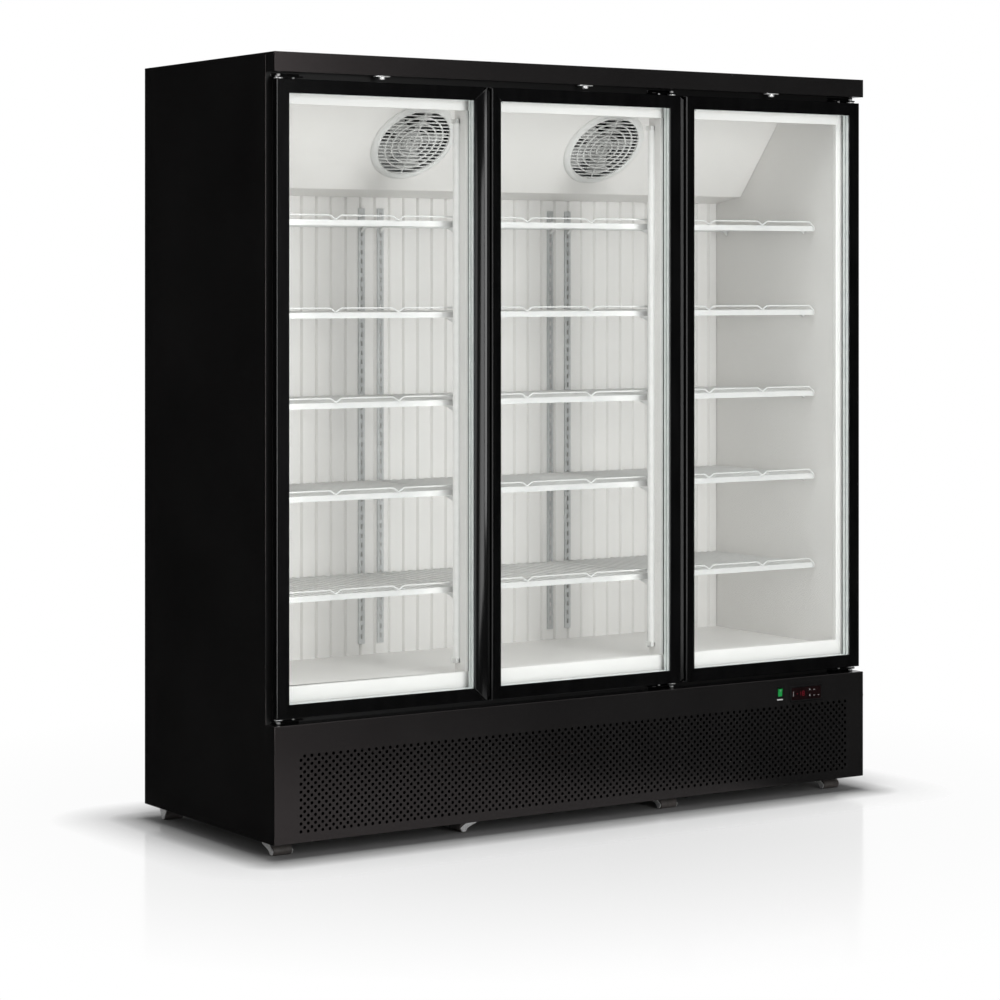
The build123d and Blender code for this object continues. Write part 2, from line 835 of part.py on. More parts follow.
def base_frame():
    """Front and rear rails, cross members over the castors, the machine deck and the posts under the cabinet."""
    inside = half - sheet
    y0, y1 = body_front, back - sheet
    z0, z1 = frame_bottom, frame_bottom + rail_size
    pieces = []
    for edge, way in ((y0, 1), (y1, -1)):
        channel = [
            (edge, z0),
            (edge + way * rail_size, z0),
            (edge + way * rail_size, z0 + rail_wall),
            (edge + way * rail_wall, z0 + rail_wall),
            (edge + way * rail_wall, z1 - rail_wall),
            (edge + way * rail_size, z1 - rail_wall),
            (edge + way * rail_size, z1),
            (edge, z1),
        ]
        pieces.append(along_x(channel, -inside, inside))
    wide = castor_plate / 2
    for x in castor_columns:
        hat = [
            (x - wide, z0),
            (x + wide, z0),
            (x + wide, z1),
            (x + wide - rail_wall, z1),
            (x + wide - rail_wall, z0 + rail_wall),
            (x - wide + rail_wall, z0 + rail_wall),
            (x - wide + rail_wall, z1),
            (x - wide, z1),
        ]
        pieces.append(along_y(hat, y0 + rail_size, y1 - rail_size))
    pieces.append(block(-inside, inside, y0, y1, z1, deck_top))
    for x, way in ((-inside, 1), (inside, -1)):
        for y, turn in ((y0, 1), (y1, -1)):
            angle = [
                (x, y),
                (x + way * post_size, y),
                (x + way * post_size, y + turn * rail_wall),
                (x + way * rail_wall, y + turn * rail_wall),
                (x + way * rail_wall, y + turn * post_size),
                (x, y + turn * post_size),
            ]
            pieces.append(along_z(angle, deck_top, min(floor_bottom, sill_bottom)))
    save("base_frame", *pieces)


def suction_drop():
    """Place where the suction pipe comes down through the cabinet's floor."""
    return compressor_x, back_inner - duct_gap / 2


def pipe_hole(z0, z1):
    """Six-sided clearance for the suction pipe through the cabinet's floor."""
    x, y = suction_drop()
    hole = RegularPolygon(pipe_radius + pipe_play, 6, major_radius=False)
    return extrude(Plane.XY.offset(z0) * Pos(x, y) * hole, amount=z1 - z0)


def machine():
    """Compressor on its feet, condenser with its shroud, the drip tray and the pipes."""
    x, y = compressor_x, back - compressor_setback
    radius, tall = compressor_radius, compressor_height
    z0 = deck_top + foot_height + foot_plate
    shoulder = compressor_shoulder
    round_can = RegularPolygon(radius, compressor_sides)
    can = extrude(Plane.XY.offset(z0) * round_can, amount=tall - shoulder)
    can += extrude(Plane.XY.offset(z0 + tall - shoulder) * round_can, amount=shoulder, taper=45)
    wide = radius + foot_margin
    body = can + block(-wide, wide, -radius, radius, z0 - foot_plate, z0)
    for fx in (-wide, wide - foot_size):
        for fy in (-radius, radius - foot_size):
            body += block(fx, fx + foot_size, fy, fy + foot_size, deck_top, z0 - foot_plate)
    save("compressor", Pos(x, y, 0) * body)

    x0, x1 = condenser_x - condenser_length / 2, condenser_x + condenser_length / 2
    y0 = body_front + condenser_setback
    y1 = y0 + condenser_depth
    z1 = deck_top + condenser_height
    plates = [block(x0 - end_plate, x0, y0, y1, deck_top, z1), block(x1, x1 + end_plate, y0, y1, deck_top, z1)]
    save("condenser_coil", fin_pack(x0, x1, y0, y1, deck_top, z1), *plates)

    shroud = block(x0, x1, y1, y1 + shroud_wall, deck_top, z1)
    hole = RegularPolygon(condenser_fan_radius + fan_gap, opening_sides)
    shroud -= extrude(condenser_plane().offset(-shroud_wall) * hole, amount=4 * shroud_wall)
    save("condenser_fan_shroud", shroud)

    tx0, tx1 = tray_x - tray_length / 2, tray_x + tray_length / 2
    ty1 = back - tray_back_gap
    ty0 = ty1 - tray_depth
    tray = block(tx0, tx1, ty0, ty1, deck_top, deck_top + tray_height)
    tray -= block(tx0 + sheet, tx1 - sheet, ty0 + sheet, ty1 - sheet, deck_top + sheet, deck_top + tray_height)
    save("drip_tray", tray)
    pipes(x, y, radius, z0)


def pipe(points):
    """Six-sided tube through the points, with each corner eased by a short straight."""
    line = [Vector(*points[0])]
    for before, corner, after in zip(points, points[1:], points[2:]):
        corner = Vector(*corner)
        for far in (before, after):
            way = (Vector(*far) - corner).normalized()
            line.append(corner + way * pipe_bend)
    line.append(Vector(*points[-1]))
    path = Polyline(*line)
    section = Plane(origin=path @ 0, z_dir=path % 0) * RegularPolygon(pipe_radius, 6)
    return sweep(section, path=path, transition=Transition.RIGHT)


def pipes(x, y, radius, z0):
    """Discharge pipe to the condenser, and the suction pipe that comes down the air duct from the evaporator."""
    level = z0 + compressor_height * discharge_share
    high = z0 + compressor_height * suction_share
    condenser_end = condenser_x - condenser_length / 2 - end_plate
    condenser_y = body_front + condenser_setback + condenser_depth / 2
    discharge = pipe(
        [
            (x + radius, y, level),
            (x + radius + 3 * pipe_bend, y, level),
            (x + radius + 3 * pipe_bend, condenser_y, level),
            (condenser_end, condenser_y, level),
        ]
    )
    drop_x, drop_y = suction_drop()
    coil_y = back_inner - evaporator_gap
    coil_z = ceiling - evaporator_gap / 2 - evaporator_height / 2
    suction = pipe(
        [
            (drop_x, coil_y, coil_z),
            (drop_x, drop_y, coil_z),
            (drop_x, drop_y, high),
            (drop_x, y + radius, high),
        ]
    )
    save("refrigerant_pipes", discharge, suction)


def controls():
    """Rocker switch in its snap-in housing, and the thermostat with its bezel and display recess."""
    bezel_front = front - switch_bezel
    w, h = switch_width, switch_height
    housing = Pos(switch_x, (bezel_front + front) / 2, switch_z) * Box(w, switch_bezel, h)
    inner_w, inner_h = w - 2 * switch_wall, h - 2 * switch_wall
    housing += Pos(switch_x, front + switch_depth / 2, switch_z) * Box(inner_w, switch_depth, inner_h)
    well_w, well_h = inner_w - 2 * switch_wall, inner_h - 2 * switch_wall
    pivot_y = bezel_front + rocker_pivot
    rocker_r = well_h / 2 - rocker_play
    well_back = pivot_y + rocker_r + rocker_play
    housing -= block(
        switch_x - well_w / 2,
        switch_x + well_w / 2,
        bezel_front,
        well_back,
        switch_z - well_h / 2,
        switch_z + well_h / 2,
    )
    pin_x0, pin_x1 = switch_x - well_w / 2, switch_x + well_w / 2
    housing += bar_x(pivot_y, switch_z, pin_x0, pin_x1, rocker_pin)
    save("switch_housing", housing)

    valley = bezel_front
    ridge = valley - rocker_r * tan(radians(rocker_tilt))
    side_z = (rocker_r**2 - (pivot_y - ridge) ** 2) ** 0.5
    section = [
        (ridge, switch_z - side_z),
        (valley, switch_z),
        (ridge, switch_z + side_z),
        (pivot_y + rocker_r / 2, switch_z + side_z * rocker_shoulder),
        (pivot_y + rocker_r, switch_z),
        (pivot_y + rocker_r / 2, switch_z - side_z * rocker_shoulder),
    ]
    rocker = along_x(section, pin_x0 + rocker_play, pin_x1 - rocker_play)
    rocker -= bar_x(pivot_y, switch_z, pin_x0, pin_x1, rocker_pin + pin_play)
    pivot = Axis((switch_x, pivot_y, switch_z), (1, 0, 0))
    save("switch_rocker", rocker.rotate(pivot, rocker_tilt))

    tw, th = thermostat_width, thermostat_height
    bezel = Pos(thermostat_x, front - thermostat_bezel / 2, thermostat_z) * Box(tw, thermostat_bezel, th)
    bezel = chamfer(bezel.edges().filter_by(Axis.Y), thermostat_rim / 2)
    bezel += Pos(thermostat_x, front + thermostat_depth / 2, thermostat_z) * Box(
        tw - 2 * thermostat_rim, thermostat_depth, th - 2 * thermostat_rim
    )
    bezel -= Pos(thermostat_x, front - thermostat_bezel, thermostat_z) * Box(
        tw - 4 * thermostat_rim, 2 * thermostat_window, th - 4 * thermostat_rim
    )
    save("thermostat", bezel)


def cheek(trail, inner):
    """Teardrop fork cheek beside the roller: wide at the crown, narrowing to a nose under the axle."""
    top = wheel_radius * 2 + crown_gap + crown_thick
    nose = cheek_radius
    wide = swivel_collar_radius
    section = [
        (-wide, top),
        (-wide, top - crown_thick),
        (trail - nose, wheel_radius),
        (trail - nose / 2, wheel_radius - nose * cheek_nose),
        (trail + nose / 2, wheel_radius - nose * cheek_nose),
        (trail + nose, wheel_radius),
        (wide, top - crown_thick),
        (wide, top),
    ]
    return along_y(section, inner, inner + cheek_thick)


def fork(trail):
    """Castor fork: a crown plate, two teardrop cheeks and the axle between them. The trail runs along local X."""
    low = wheel_radius * 2 + crown_gap
    inner = wheel_width / 2 + wheel_play
    wide = swivel_collar_radius
    body = block(-wide, wide, -inner, inner, low, low + crown_thick)
    body += cheek(trail, inner) + cheek(trail, -inner - cheek_thick)
    axle = extrude(Plane.XZ.offset(-inner) * Pos(trail, wheel_radius) * RegularPolygon(axle_radius, shaft_sides), 2 * inner)
    return body + axle


def castors():
    """Swivelling front castors, fixed rear castors, and the plates that bolt under the cross members."""
    half_wheel = wheel_width / 2
    tread = Plane.XZ.offset(-half_wheel) * Pos(0, wheel_radius) * RegularPolygon(
        wheel_radius, wheel_sides, major_radius=False, rotation=180 / wheel_sides
    )
    wheel = extrude(tread, amount=wheel_width)
    wheel -= bar_y(0, wheel_radius, -half_wheel, half_wheel, axle_radius + axle_play)
    crown_low = wheel_radius * 2 + crown_gap
    crown_top = crown_low + crown_thick
    plate_low = frame_bottom - castor_plate_thick
    reach = castor_plate / 2
    plate = block(-reach, reach, -reach, reach, plate_low, frame_bottom)
    race = RegularPolygon(swivel_collar_radius, 8)
    plates = []
    for number, (x, yaw) in enumerate(zip(castor_columns, castor_yaws), start=1):
        front_place = Pos(x, body_front + castor_front, 0)
        low = crown_top + swivel_gap
        swivel = plate + extrude(Plane.XY.offset(low) * race, amount=plate_low - low)
        king = RegularPolygon(king_radius, shaft_sides)
        swivel += extrude(Plane.XY.offset(crown_low - swivel_gap) * king, amount=low - crown_low + swivel_gap)
        head = RegularPolygon(king_head_radius, 6)
        swivel += extrude(Plane.XY.offset(crown_low - swivel_gap - king_head) * head, amount=king_head)
        plates.append(front_place * swivel)
        turning = fork(castor_trail) - disc(0, 0, crown_low, crown_top, king_radius + king_play)
        save(f"front_castor_fork_{number}", front_place * Rot(0, 0, yaw) * turning)
        save(f"front_castor_wheel_{number}", front_place * Rot(0, 0, yaw) * Pos(castor_trail, 0, 0) * wheel)
    fixed = plate + extrude(Plane.XY.offset(crown_top) * race, amount=plate_low - crown_top) + fork(0)
    for name, x in (("left", castor_columns[0]), ("right", castor_columns[-1])):
        rear_place = Pos(x, back - castor_rear, 0) * Rot(0, 0, -90)
        plates.append(rear_place * fixed)
        save(f"rear_castor_wheel_{name}", rear_place * wheel)
    save("castor_plates", *plates)


os.makedirs("parts", exist_ok=True)
casing()
base_panel()
cabinet()
for number, label in enumerate(("door_left", "door_middle", "door_right")):
    door(number, label)
door_fittings()
shelving()
rear_duct()
evaporator()
base_frame()
machine()
controls()
castors()
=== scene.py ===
"""Looks of an upright display freezer with three glass doors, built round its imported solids, in metres."""
from math import atan2, cos, pi, radians, sin

import bmesh
import bpy
import numpy as np
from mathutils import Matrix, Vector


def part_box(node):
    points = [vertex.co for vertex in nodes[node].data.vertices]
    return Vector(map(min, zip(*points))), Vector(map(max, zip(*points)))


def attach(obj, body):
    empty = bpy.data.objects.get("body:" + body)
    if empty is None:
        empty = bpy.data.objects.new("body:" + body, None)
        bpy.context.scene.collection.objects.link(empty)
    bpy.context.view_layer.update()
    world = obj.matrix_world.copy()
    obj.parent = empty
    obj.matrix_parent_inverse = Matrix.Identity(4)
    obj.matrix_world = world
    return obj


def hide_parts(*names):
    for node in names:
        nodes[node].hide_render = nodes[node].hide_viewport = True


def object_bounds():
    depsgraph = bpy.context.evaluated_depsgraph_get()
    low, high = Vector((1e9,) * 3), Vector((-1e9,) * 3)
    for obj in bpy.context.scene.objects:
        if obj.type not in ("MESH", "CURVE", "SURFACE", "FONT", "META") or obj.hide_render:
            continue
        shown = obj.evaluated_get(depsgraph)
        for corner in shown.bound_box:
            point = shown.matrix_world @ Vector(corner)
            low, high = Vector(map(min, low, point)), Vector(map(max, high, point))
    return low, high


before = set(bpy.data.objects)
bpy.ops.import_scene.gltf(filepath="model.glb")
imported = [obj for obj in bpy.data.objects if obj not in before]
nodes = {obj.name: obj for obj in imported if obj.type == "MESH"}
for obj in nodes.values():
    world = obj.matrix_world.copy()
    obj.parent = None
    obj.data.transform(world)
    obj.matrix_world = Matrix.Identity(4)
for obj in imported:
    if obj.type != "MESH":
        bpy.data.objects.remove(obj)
cad_low, cad_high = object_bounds()
mm = 0.001
X, Y, Z = np.eye(3)
SHELF_TOPS = np.array((630, 882, 1116, 1345, 1581)) * mm
# Watts of each light strip inside, and the degrees by which it turns towards the back of its bay
STRIP_POWER = 0.32
STRIP_TURN = 35
# Bands per unit of length that a wave texture has at scale 1
WAVE_BANDS = 3.1831


# Surfaces as arrays: a part is its points and a list of face arrays
def grid_faces(rows, columns, round_rows=False, round_columns=False):
    """Quads of a grid counted row by row: each joins a point to the next column and the next row."""
    r, c = np.meshgrid(
        np.arange(rows if round_rows else rows - 1),
        np.arange(columns if round_columns else columns - 1),
        indexing="ij",
    )
    down, along = (r + 1) % rows, (c + 1) % columns
    corners = (r * columns + c, r * columns + along, down * columns + along, down * columns + c)
    return np.stack(corners, -1).reshape(-1, 4)


def join(*parts):
    """One part from several, with each part's face numbers moved past the points before it."""
    points, faces, start = [], [], 0
    for p, groups in parts:
        points.append(p)
        faces += [f + start for f in groups]
        start += len(p)
    return np.concatenate(points), faces


def copies(part, offsets):
    """The part repeated at each offset: every point plus every offset."""
    points, groups = part
    offsets = np.asarray(offsets, float).reshape(-1, 3)
    moved = (points[None] + offsets[:, None]).reshape(-1, 3)
    steps = np.arange(len(offsets)) * len(points)
    return moved, [(f[None] + steps[:, None, None]).reshape(-1, f.shape[1]) for f in groups]


def turned(part, axis, angle, centre=(0, 0, 0)):
    """The part turned about a line: p cos + (k x p) sin + k (k.p)(1 - cos)."""
    points, groups = part
    k = np.asarray(axis, float)
    p = points - centre
    spun = p * cos(angle) + np.cross(k, p) * sin(angle) + np.outer(p @ k, k) * (1 - cos(angle))
    return spun + centre, groups


def tube(path, radius, sides=8, up=Z, ring=False):
    """A circle carried along a path across up: path + radius (cos a side + sin a up), widened at bends."""
    path = np.asarray(path, float)
    count = len(path)
    ways = np.roll(path, -1, 0) - path
    ways /= np.maximum(np.linalg.norm(ways, axis=1, keepdims=True), 1e-12)
    ahead, behind = ways.copy(), np.roll(ways, 1, 0)
    if not ring:
        ahead[-1], behind[0] = ways[-2], ways[0]
    middle = ahead + behind
    middle /= np.linalg.norm(middle, axis=1, keepdims=True)
    side = np.cross(up, middle)
    widen = 1 / np.clip((middle * ahead).sum(1), 0.5, 1)
    a = np.arange(sides) * 2 * pi / sides
    across = np.cos(a)[None, :, None] * (side * widen[:, None])[:, None]
    upward = np.sin(a)[None, :, None] * np.asarray(up, float)
    points = (path[:, None] + radius * (across + upward)).reshape(-1, 3)
    groups = [grid_faces(count, sides, round_rows=ring, round_columns=True)]
    if not ring:
        first = np.arange(sides)
        groups += [first[::-1][None], (first + (count - 1) * sides)[None]]
    return points, groups


def spun(profile, centre, axis, sides=32):
    """A profile of (radius, height) about an axis: centre + height axis + radius (cos a u + sin a v)."""
    profile = np.asarray(profile, float)
    axis = np.asarray(axis, float)
    u = np.cross(axis, X if abs(axis[0]) < 0.9 else Y)
    u /= np.linalg.norm(u)
    v = np.cross(axis, u)
    a = np.arange(sides) * 2 * pi / sides
    wheel = np.cos(a)[:, None] * u + np.sin(a)[:, None] * v
    points = centre + profile[:, 1, None, None] * axis + profile[:, 0, None, None] * wheel[None]
    return points.reshape(-1, 3), [grid_faces(len(profile), sides, round_columns=True)]


def rounded(width, height, radius, steps=5):
    """Points of a rectangle with quarter circles at its corners, counter-clockwise about the origin."""
    a = (np.arange(4)[:, None] * 90 + np.linspace(0, 90, steps)[None]).ravel() * pi / 180
    sx = np.repeat([1, -1, -1, 1], steps) * (width / 2 - radius)
    sy = np.repeat([1, 1, -1, -1], steps) * (height / 2 - radius)
    return np.stack([sx + radius * np.cos(a), sy + radius * np.sin(a)], -1)


def lofted(outlines, heights, centre, across, along):
    """Outlines of one point count stacked at their heights over the plane of across and along, with ends."""
    across, along = np.asarray(across, float), np.asarray(along, float)
    out = np.cross(across, along)
    rows = [centre + o[:, :1] * across + o[:, 1:] * along + h * out for o, h in zip(outlines, heights)]
    count = len(rows[0])
    first = np.arange(count)
    groups = [grid_faces(len(rows), count, round_columns=True)]
    groups += [first[::-1][None], (first + (len(rows) - 1) * count)[None]]
    return np.concatenate(rows), groups


def box(low, high):
    """A plain block between two corners, for small bars that a bevel rounds."""
    low, high = np.asarray(low, float), np.asarray(high, float)
    pick = np.array([(0, 0, 0), (1, 0, 0), (1, 1, 0), (0, 1, 0), (0, 0, 1), (1, 0, 1), (1, 1, 1), (0, 1, 1)])
    faces = np.array([(3, 2, 1, 0), (4, 5, 6, 7), (0, 1, 5, 4), (1, 2, 6, 5), (2, 3, 7, 6), (3, 0, 4, 7)])
    return low + pick * (high - low), [faces]


def holed_cell(edge, hole, y=0.0):
    """A cell of pierced sheet across Y: the band between an outer and an inner loop of one point count."""
    flat = np.concatenate([edge, hole])
    count = len(edge)
    k = np.arange(count)
    after = (k + 1) % count
    faces = np.stack([k, after, after + count, k + count], -1)
    return np.stack([flat[:, 0], np.full(len(flat), y), flat[:, 1]], -1), [faces]


def side_flange(x, ys, zs, way):
    """A flat grid across X that runs back along Y, facing way along X."""
    yy, zz = np.meshgrid(ys, zs, indexing="ij")
    points = np.stack([np.full(yy.shape, x), yy, zz], -1).reshape(-1, 3)
    return points, [grid_faces(*yy.shape)[:, ::-way]]


def placed(name, data):
    """A new object in the scene, of a mesh, a lamp or a camera."""
    obj = bpy.data.objects.new(name, data)
    bpy.context.scene.collection.objects.link(obj)
    return obj


def eased(obj, width, segments, angle):
    """A bevel on the edges that are sharper than an angle in degrees."""
    ease = obj.modifiers.new("eased_edges", "BEVEL")
    ease.width, ease.segments = width, segments
    ease.limit_method, ease.angle_limit = "ANGLE", radians(angle)
    return ease


def add_piece(name, part, body, material, stands_for=(), smooth=False, wall=0, bevel=0, segments=2,
              merge=1e-6):
    """One object from a part, with doubled points merged, riding on a body."""
    points, groups = part
    mesh = bpy.data.meshes.new(name)
    mesh.from_pydata(points.tolist(), [], [face for g in groups for face in g.tolist()])
    mesh.materials.append(material)
    work = bmesh.new()
    work.from_mesh(mesh)
    bmesh.ops.remove_doubles(work, verts=work.verts, dist=merge)
    work.to_mesh(mesh)
    work.free()
    if smooth:
        mesh.shade_smooth()
        mesh.set_sharp_from_angle(angle=radians(40))
    obj = placed(name, mesh)
    if bevel:
        eased(obj, bevel, segments, 40)
    if wall:
        thick = obj.modifiers.new("sheet", "SOLIDIFY")
        thick.thickness, thick.offset = wall, -1
    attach(obj, body)
    if stands_for:
        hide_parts(*stands_for)


def ease_node(name, width, clamped=True):
    """Rounds the edges of a solid that stays: its points are welded, flat facets joined, then bevelled."""
    obj = nodes[name]
    weld = obj.modifiers.new("weld", "WELD")
    weld.merge_threshold = 1e-6
    flat = obj.modifiers.new("flat", "DECIMATE")
    flat.decimate_type, flat.angle_limit = "DISSOLVE", radians(0.5)
    eased(obj, width, 3, 30).use_clamp_overlap = clamped


# Finishes
def new_finish(name):
    """An empty material with one shader, and short ways to add and join nodes."""
    material = bpy.data.materials.new(name)
    material.use_nodes = True
    tree = material.node_tree
    shader = tree.nodes["Principled BSDF"]

    def add(kind, **values):
        node = tree.nodes.new(kind)
        for key, value in values.items():
            setattr(node, key, value)
        return node

    return material, tree, shader, add


def object_place(tree, add, stretch=(1, 1, 1)):
    """The object's own coordinates, stretched along its axes where a grain has a direction."""
    place = add("ShaderNodeTexCoord")
    scaled = add("ShaderNodeMapping")
    scaled.inputs["Scale"].default_value = stretch
    tree.links.new(place.outputs["Object"], scaled.inputs["Vector"])
    return scaled.outputs["Vector"]


def noise_at(tree, add, place, scale, detail=3.0, rough=0.55):
    """A noise field at so many cells per metre."""
    field = add("ShaderNodeTexNoise")
    field.inputs["Scale"].default_value = scale
    field.inputs["Detail"].default_value = detail
    field.inputs["Roughness"].default_value = rough
    tree.links.new(place, field.inputs["Vector"])
    return field.outputs["Fac"]


def ramp(tree, add, source, low, high):
    """Two colours blended by a field, with the change set round its middle."""
    blend = add("ShaderNodeValToRGB")
    stops = blend.color_ramp.elements
    stops[0].position, stops[1].position = 0.3, 0.7
    stops[0].color, stops[1].color = (*low, 1), (*high, 1)
    tree.links.new(source, blend.inputs["Fac"])
    return blend.outputs["Color"]


def spread(tree, add, source, low, high, start=0.3, end=0.7):
    """A field's range from start to end carried to the range from low to high."""
    span = add("ShaderNodeMapRange")
    for key, value in (("From Min", start), ("From Max", end), ("To Min", low), ("To Max", high)):
        span.inputs[key].default_value = value
    tree.links.new(source, span.inputs["Value"])
    return span.outputs["Result"]


def maths(tree, operation, *values):
    """The result of an operation on fields and plain numbers."""
    node = tree.nodes.new("ShaderNodeMath")
    node.operation = operation
    for socket, value in zip(node.inputs, values):
        if isinstance(value, bpy.types.NodeSocket):
            tree.links.new(value, socket)
        else:
            socket.default_value = value
    return node.outputs["Value"]


def mixed(tree, share, first, second):
    """Two shaders mixed by a share."""
    mix = tree.nodes.new("ShaderNodeMixShader")
    for socket, source in zip(mix.inputs, (share, first, second)):
        tree.links.new(source, socket)
    return mix.outputs["Shader"]


def surface_of(tree, shader):
    """Makes a shader the one that the material shows."""
    tree.links.new(shader, tree.nodes["Material Output"].inputs["Surface"])


def rough_relief(tree, add, shader, fine, rough, relief, depth=0.0002):
    """Roughness and a raised grain that follow one fine field."""
    tree.links.new(spread(tree, add, fine, *rough), shader.inputs["Roughness"])
    bump = add("ShaderNodeBump")
    bump.inputs["Strength"].default_value = relief
    bump.inputs["Distance"].default_value = depth
    tree.links.new(fine, bump.inputs["Height"])
    tree.links.new(bump.outputs["Normal"], shader.inputs["Normal"])


def finish(name, dark, light, rough, metal=0.0, gloss=0.5, tone=6.0, grain=700.0, relief=0.05,
           stretch=(1, 1, 1), sheen=(1, 1, 1)):
    """A finish whose colour drifts with a slow noise and whose roughness and relief follow a fine one."""
    material, tree, shader, add = new_finish(name)
    place = object_place(tree, add, stretch)
    drift = noise_at(tree, add, place, tone, 4.0)
    tree.links.new(ramp(tree, add, drift, dark, light), shader.inputs["Base Color"])
    rough_relief(tree, add, shader, noise_at(tree, add, place, grain, 2.0), rough, relief)
    shader.inputs["Metallic"].default_value = metal
    shader.inputs["Specular IOR Level"].default_value = gloss
    shader.inputs["Specular Tint"].default_value = (*sheen, 1)
    return material


def blend_tones(tree, add, shader, place, factor, first, second):
    """A drifting colour: the first pair of tones where the factor is nought, the second where it is one."""
    drift = noise_at(tree, add, place, 4.0)
    blend = add("ShaderNodeMix", data_type="RGBA")
    tree.links.new(factor, blend.inputs["Factor"])
    tree.links.new(ramp(tree, add, drift, *first), blend.inputs[6])
    tree.links.new(ramp(tree, add, drift, *second), blend.inputs[7])
    tree.links.new(blend.outputs[2], shader.inputs["Base Color"])


def two_tone(name, outer, inner, reach, rough=(0.34, 0.46)):
    """Sheet of one colour between two limits along each named axis and another colour outside them."""
    material, tree, shader, add = new_finish(name)
    place = object_place(tree, add)
    axes = add("ShaderNodeSeparateXYZ")
    tree.links.new(place, axes.inputs["Vector"])
    inside = 1.0
    for axis, low, high in reach:
        middle = maths(tree, "SUBTRACT", axes.outputs[axis], (low + high) / 2)
        within = maths(tree, "LESS_THAN", maths(tree, "ABSOLUTE", middle), (high - low) / 2)
        inside = maths(tree, "MULTIPLY", within, inside)
    blend_tones(tree, add, shader, place, inside, outer, inner)
    rough_relief(tree, add, shader, noise_at(tree, add, place, 800.0, 2.0), rough, 0.06)
    shader.inputs["Specular IOR Level"].default_value = 0.2
    return material


def faced(name, outer, inner, away, rough=(0.34, 0.46)):
    """Sheet that is pale where its surface faces outwards and dark where it faces the given hidden way."""
    material, tree, shader, add = new_finish(name)
    place = object_place(tree, add)
    surface = add("ShaderNodeNewGeometry")
    turn = add("ShaderNodeVectorMath", operation="DOT_PRODUCT")
    tree.links.new(surface.outputs["Normal"], turn.inputs[0])
    turn.inputs[1].default_value = away
    hidden = maths(tree, "GREATER_THAN", turn.outputs["Value"], 0.5)
    blend_tones(tree, add, shader, place, hidden, outer, inner)
    fine = noise_at(tree, add, place, 800.0, 2.0)
    tree.links.new(spread(tree, add, fine, *rough), shader.inputs["Roughness"])
    shader.inputs["Specular IOR Level"].default_value = 0.4
    return material


def clear_glass(name):
    """Float glass: see-through with a faint green tint, and a mirror share that grows at glancing angles."""
    material, tree, shader, add = new_finish(name)
    place = object_place(tree, add)
    clouds = noise_at(tree, add, place, 2.0)
    through = add("ShaderNodeBsdfTransparent")
    tint = ramp(tree, add, clouds, (0.9965, 0.9983, 0.9973), (0.998, 0.9995, 0.9987))
    tree.links.new(tint, through.inputs["Color"])
    shader.inputs["Base Color"].default_value = (0.9, 0.95, 0.94, 1)
    shader.inputs["Roughness"].default_value = 0.03
    shader.inputs["Metallic"].default_value = 1.0
    edge = add("ShaderNodeFresnel")
    edge.inputs["IOR"].default_value = 1.17
    side = add("ShaderNodeNewGeometry")
    entering = maths(tree, "SUBTRACT", 1.0, side.outputs["Backfacing"])
    share = maths(tree, "MULTIPLY", edge.outputs["Fac"], entering)
    surface_of(tree, mixed(tree, share, through.outputs["BSDF"], shader.outputs["BSDF"]))
    return material


def glowing(name, colour, light, strength, pitch=0.0):
    """A lit surface. Along a lamp the light swells a little at every diode, at the given pitch in metres."""
    material, tree, shader, add = new_finish(name)
    place = object_place(tree, add)
    shader.inputs["Base Color"].default_value = (*colour, 1)
    shader.inputs["Roughness"].default_value = 0.35
    shader.inputs["Specular IOR Level"].default_value = 0.2
    shader.inputs["Emission Strength"].default_value = strength
    if pitch:
        wave = add("ShaderNodeTexWave", wave_type="BANDS", bands_direction="Z")
        wave.inputs["Scale"].default_value = 1 / pitch / WAVE_BANDS
        tree.links.new(place, wave.inputs["Vector"])
        source = wave.outputs["Fac"]
    else:
        source = noise_at(tree, add, place, 120.0)
    low = tuple(0.86 * c for c in light)
    tree.links.new(ramp(tree, add, source, low, light), shader.inputs["Emission Color"])
    return material


black_tones = ((0.0058, 0.0057, 0.0057), (0.0087, 0.0085, 0.0085))
white_tones = ((0.8, 0.787, 0.77), (0.85, 0.835, 0.815))
foam_tones = ((0.62, 0.52, 0.3), (0.74, 0.65, 0.42))
bright_tones = ((0.86, 0.85, 0.835), (0.89, 0.88, 0.865))
black_coat = finish("black_powder_coat", *black_tones, (0.21, 0.28), gloss=0.3, tone=3.0, grain=900.0,
                    relief=0.12, sheen=(1.0, 0.86, 0.86))
door_black = finish("black_door_profile", (0.0018, 0.0018, 0.0019), (0.0034, 0.0034, 0.0035), (0.1, 0.14),
                    gloss=0.3, tone=8.0, grain=600.0, relief=0.012, stretch=(6, 6, 1))
white_sheet = finish("white_sheet", (0.8, 0.79, 0.775), (0.85, 0.838, 0.82), (0.34, 0.46), gloss=0.4,
                     tone=4.0, grain=800.0, relief=0.06)
white_wire = finish("white_coated_wire", (0.66, 0.665, 0.66), (0.72, 0.72, 0.71), (0.3, 0.42), tone=25.0,
                    grain=900.0)
white_moulding = finish("white_moulding", (0.74, 0.745, 0.73), (0.8, 0.8, 0.79), (0.35, 0.5), gloss=0.4,
                        tone=20.0, grain=1400.0, relief=0.08)
slotted_steel = finish("slotted_steel", (0.5, 0.51, 0.51), (0.62, 0.63, 0.63), (0.3, 0.45), metal=0.2,
                       tone=14.0, grain=500.0, stretch=(3, 3, 0.3))
zinc_steel = finish("zinc_plated_steel", (0.6, 0.6, 0.6), (0.76, 0.76, 0.75), (0.22, 0.36), metal=0.45,
                    tone=60.0, relief=0.08)
fin_aluminium = finish("fin_aluminium", (0.62, 0.63, 0.64), (0.76, 0.77, 0.78), (0.25, 0.4), metal=0.95,
                       tone=30.0, grain=400.0, stretch=(1, 1, 4))
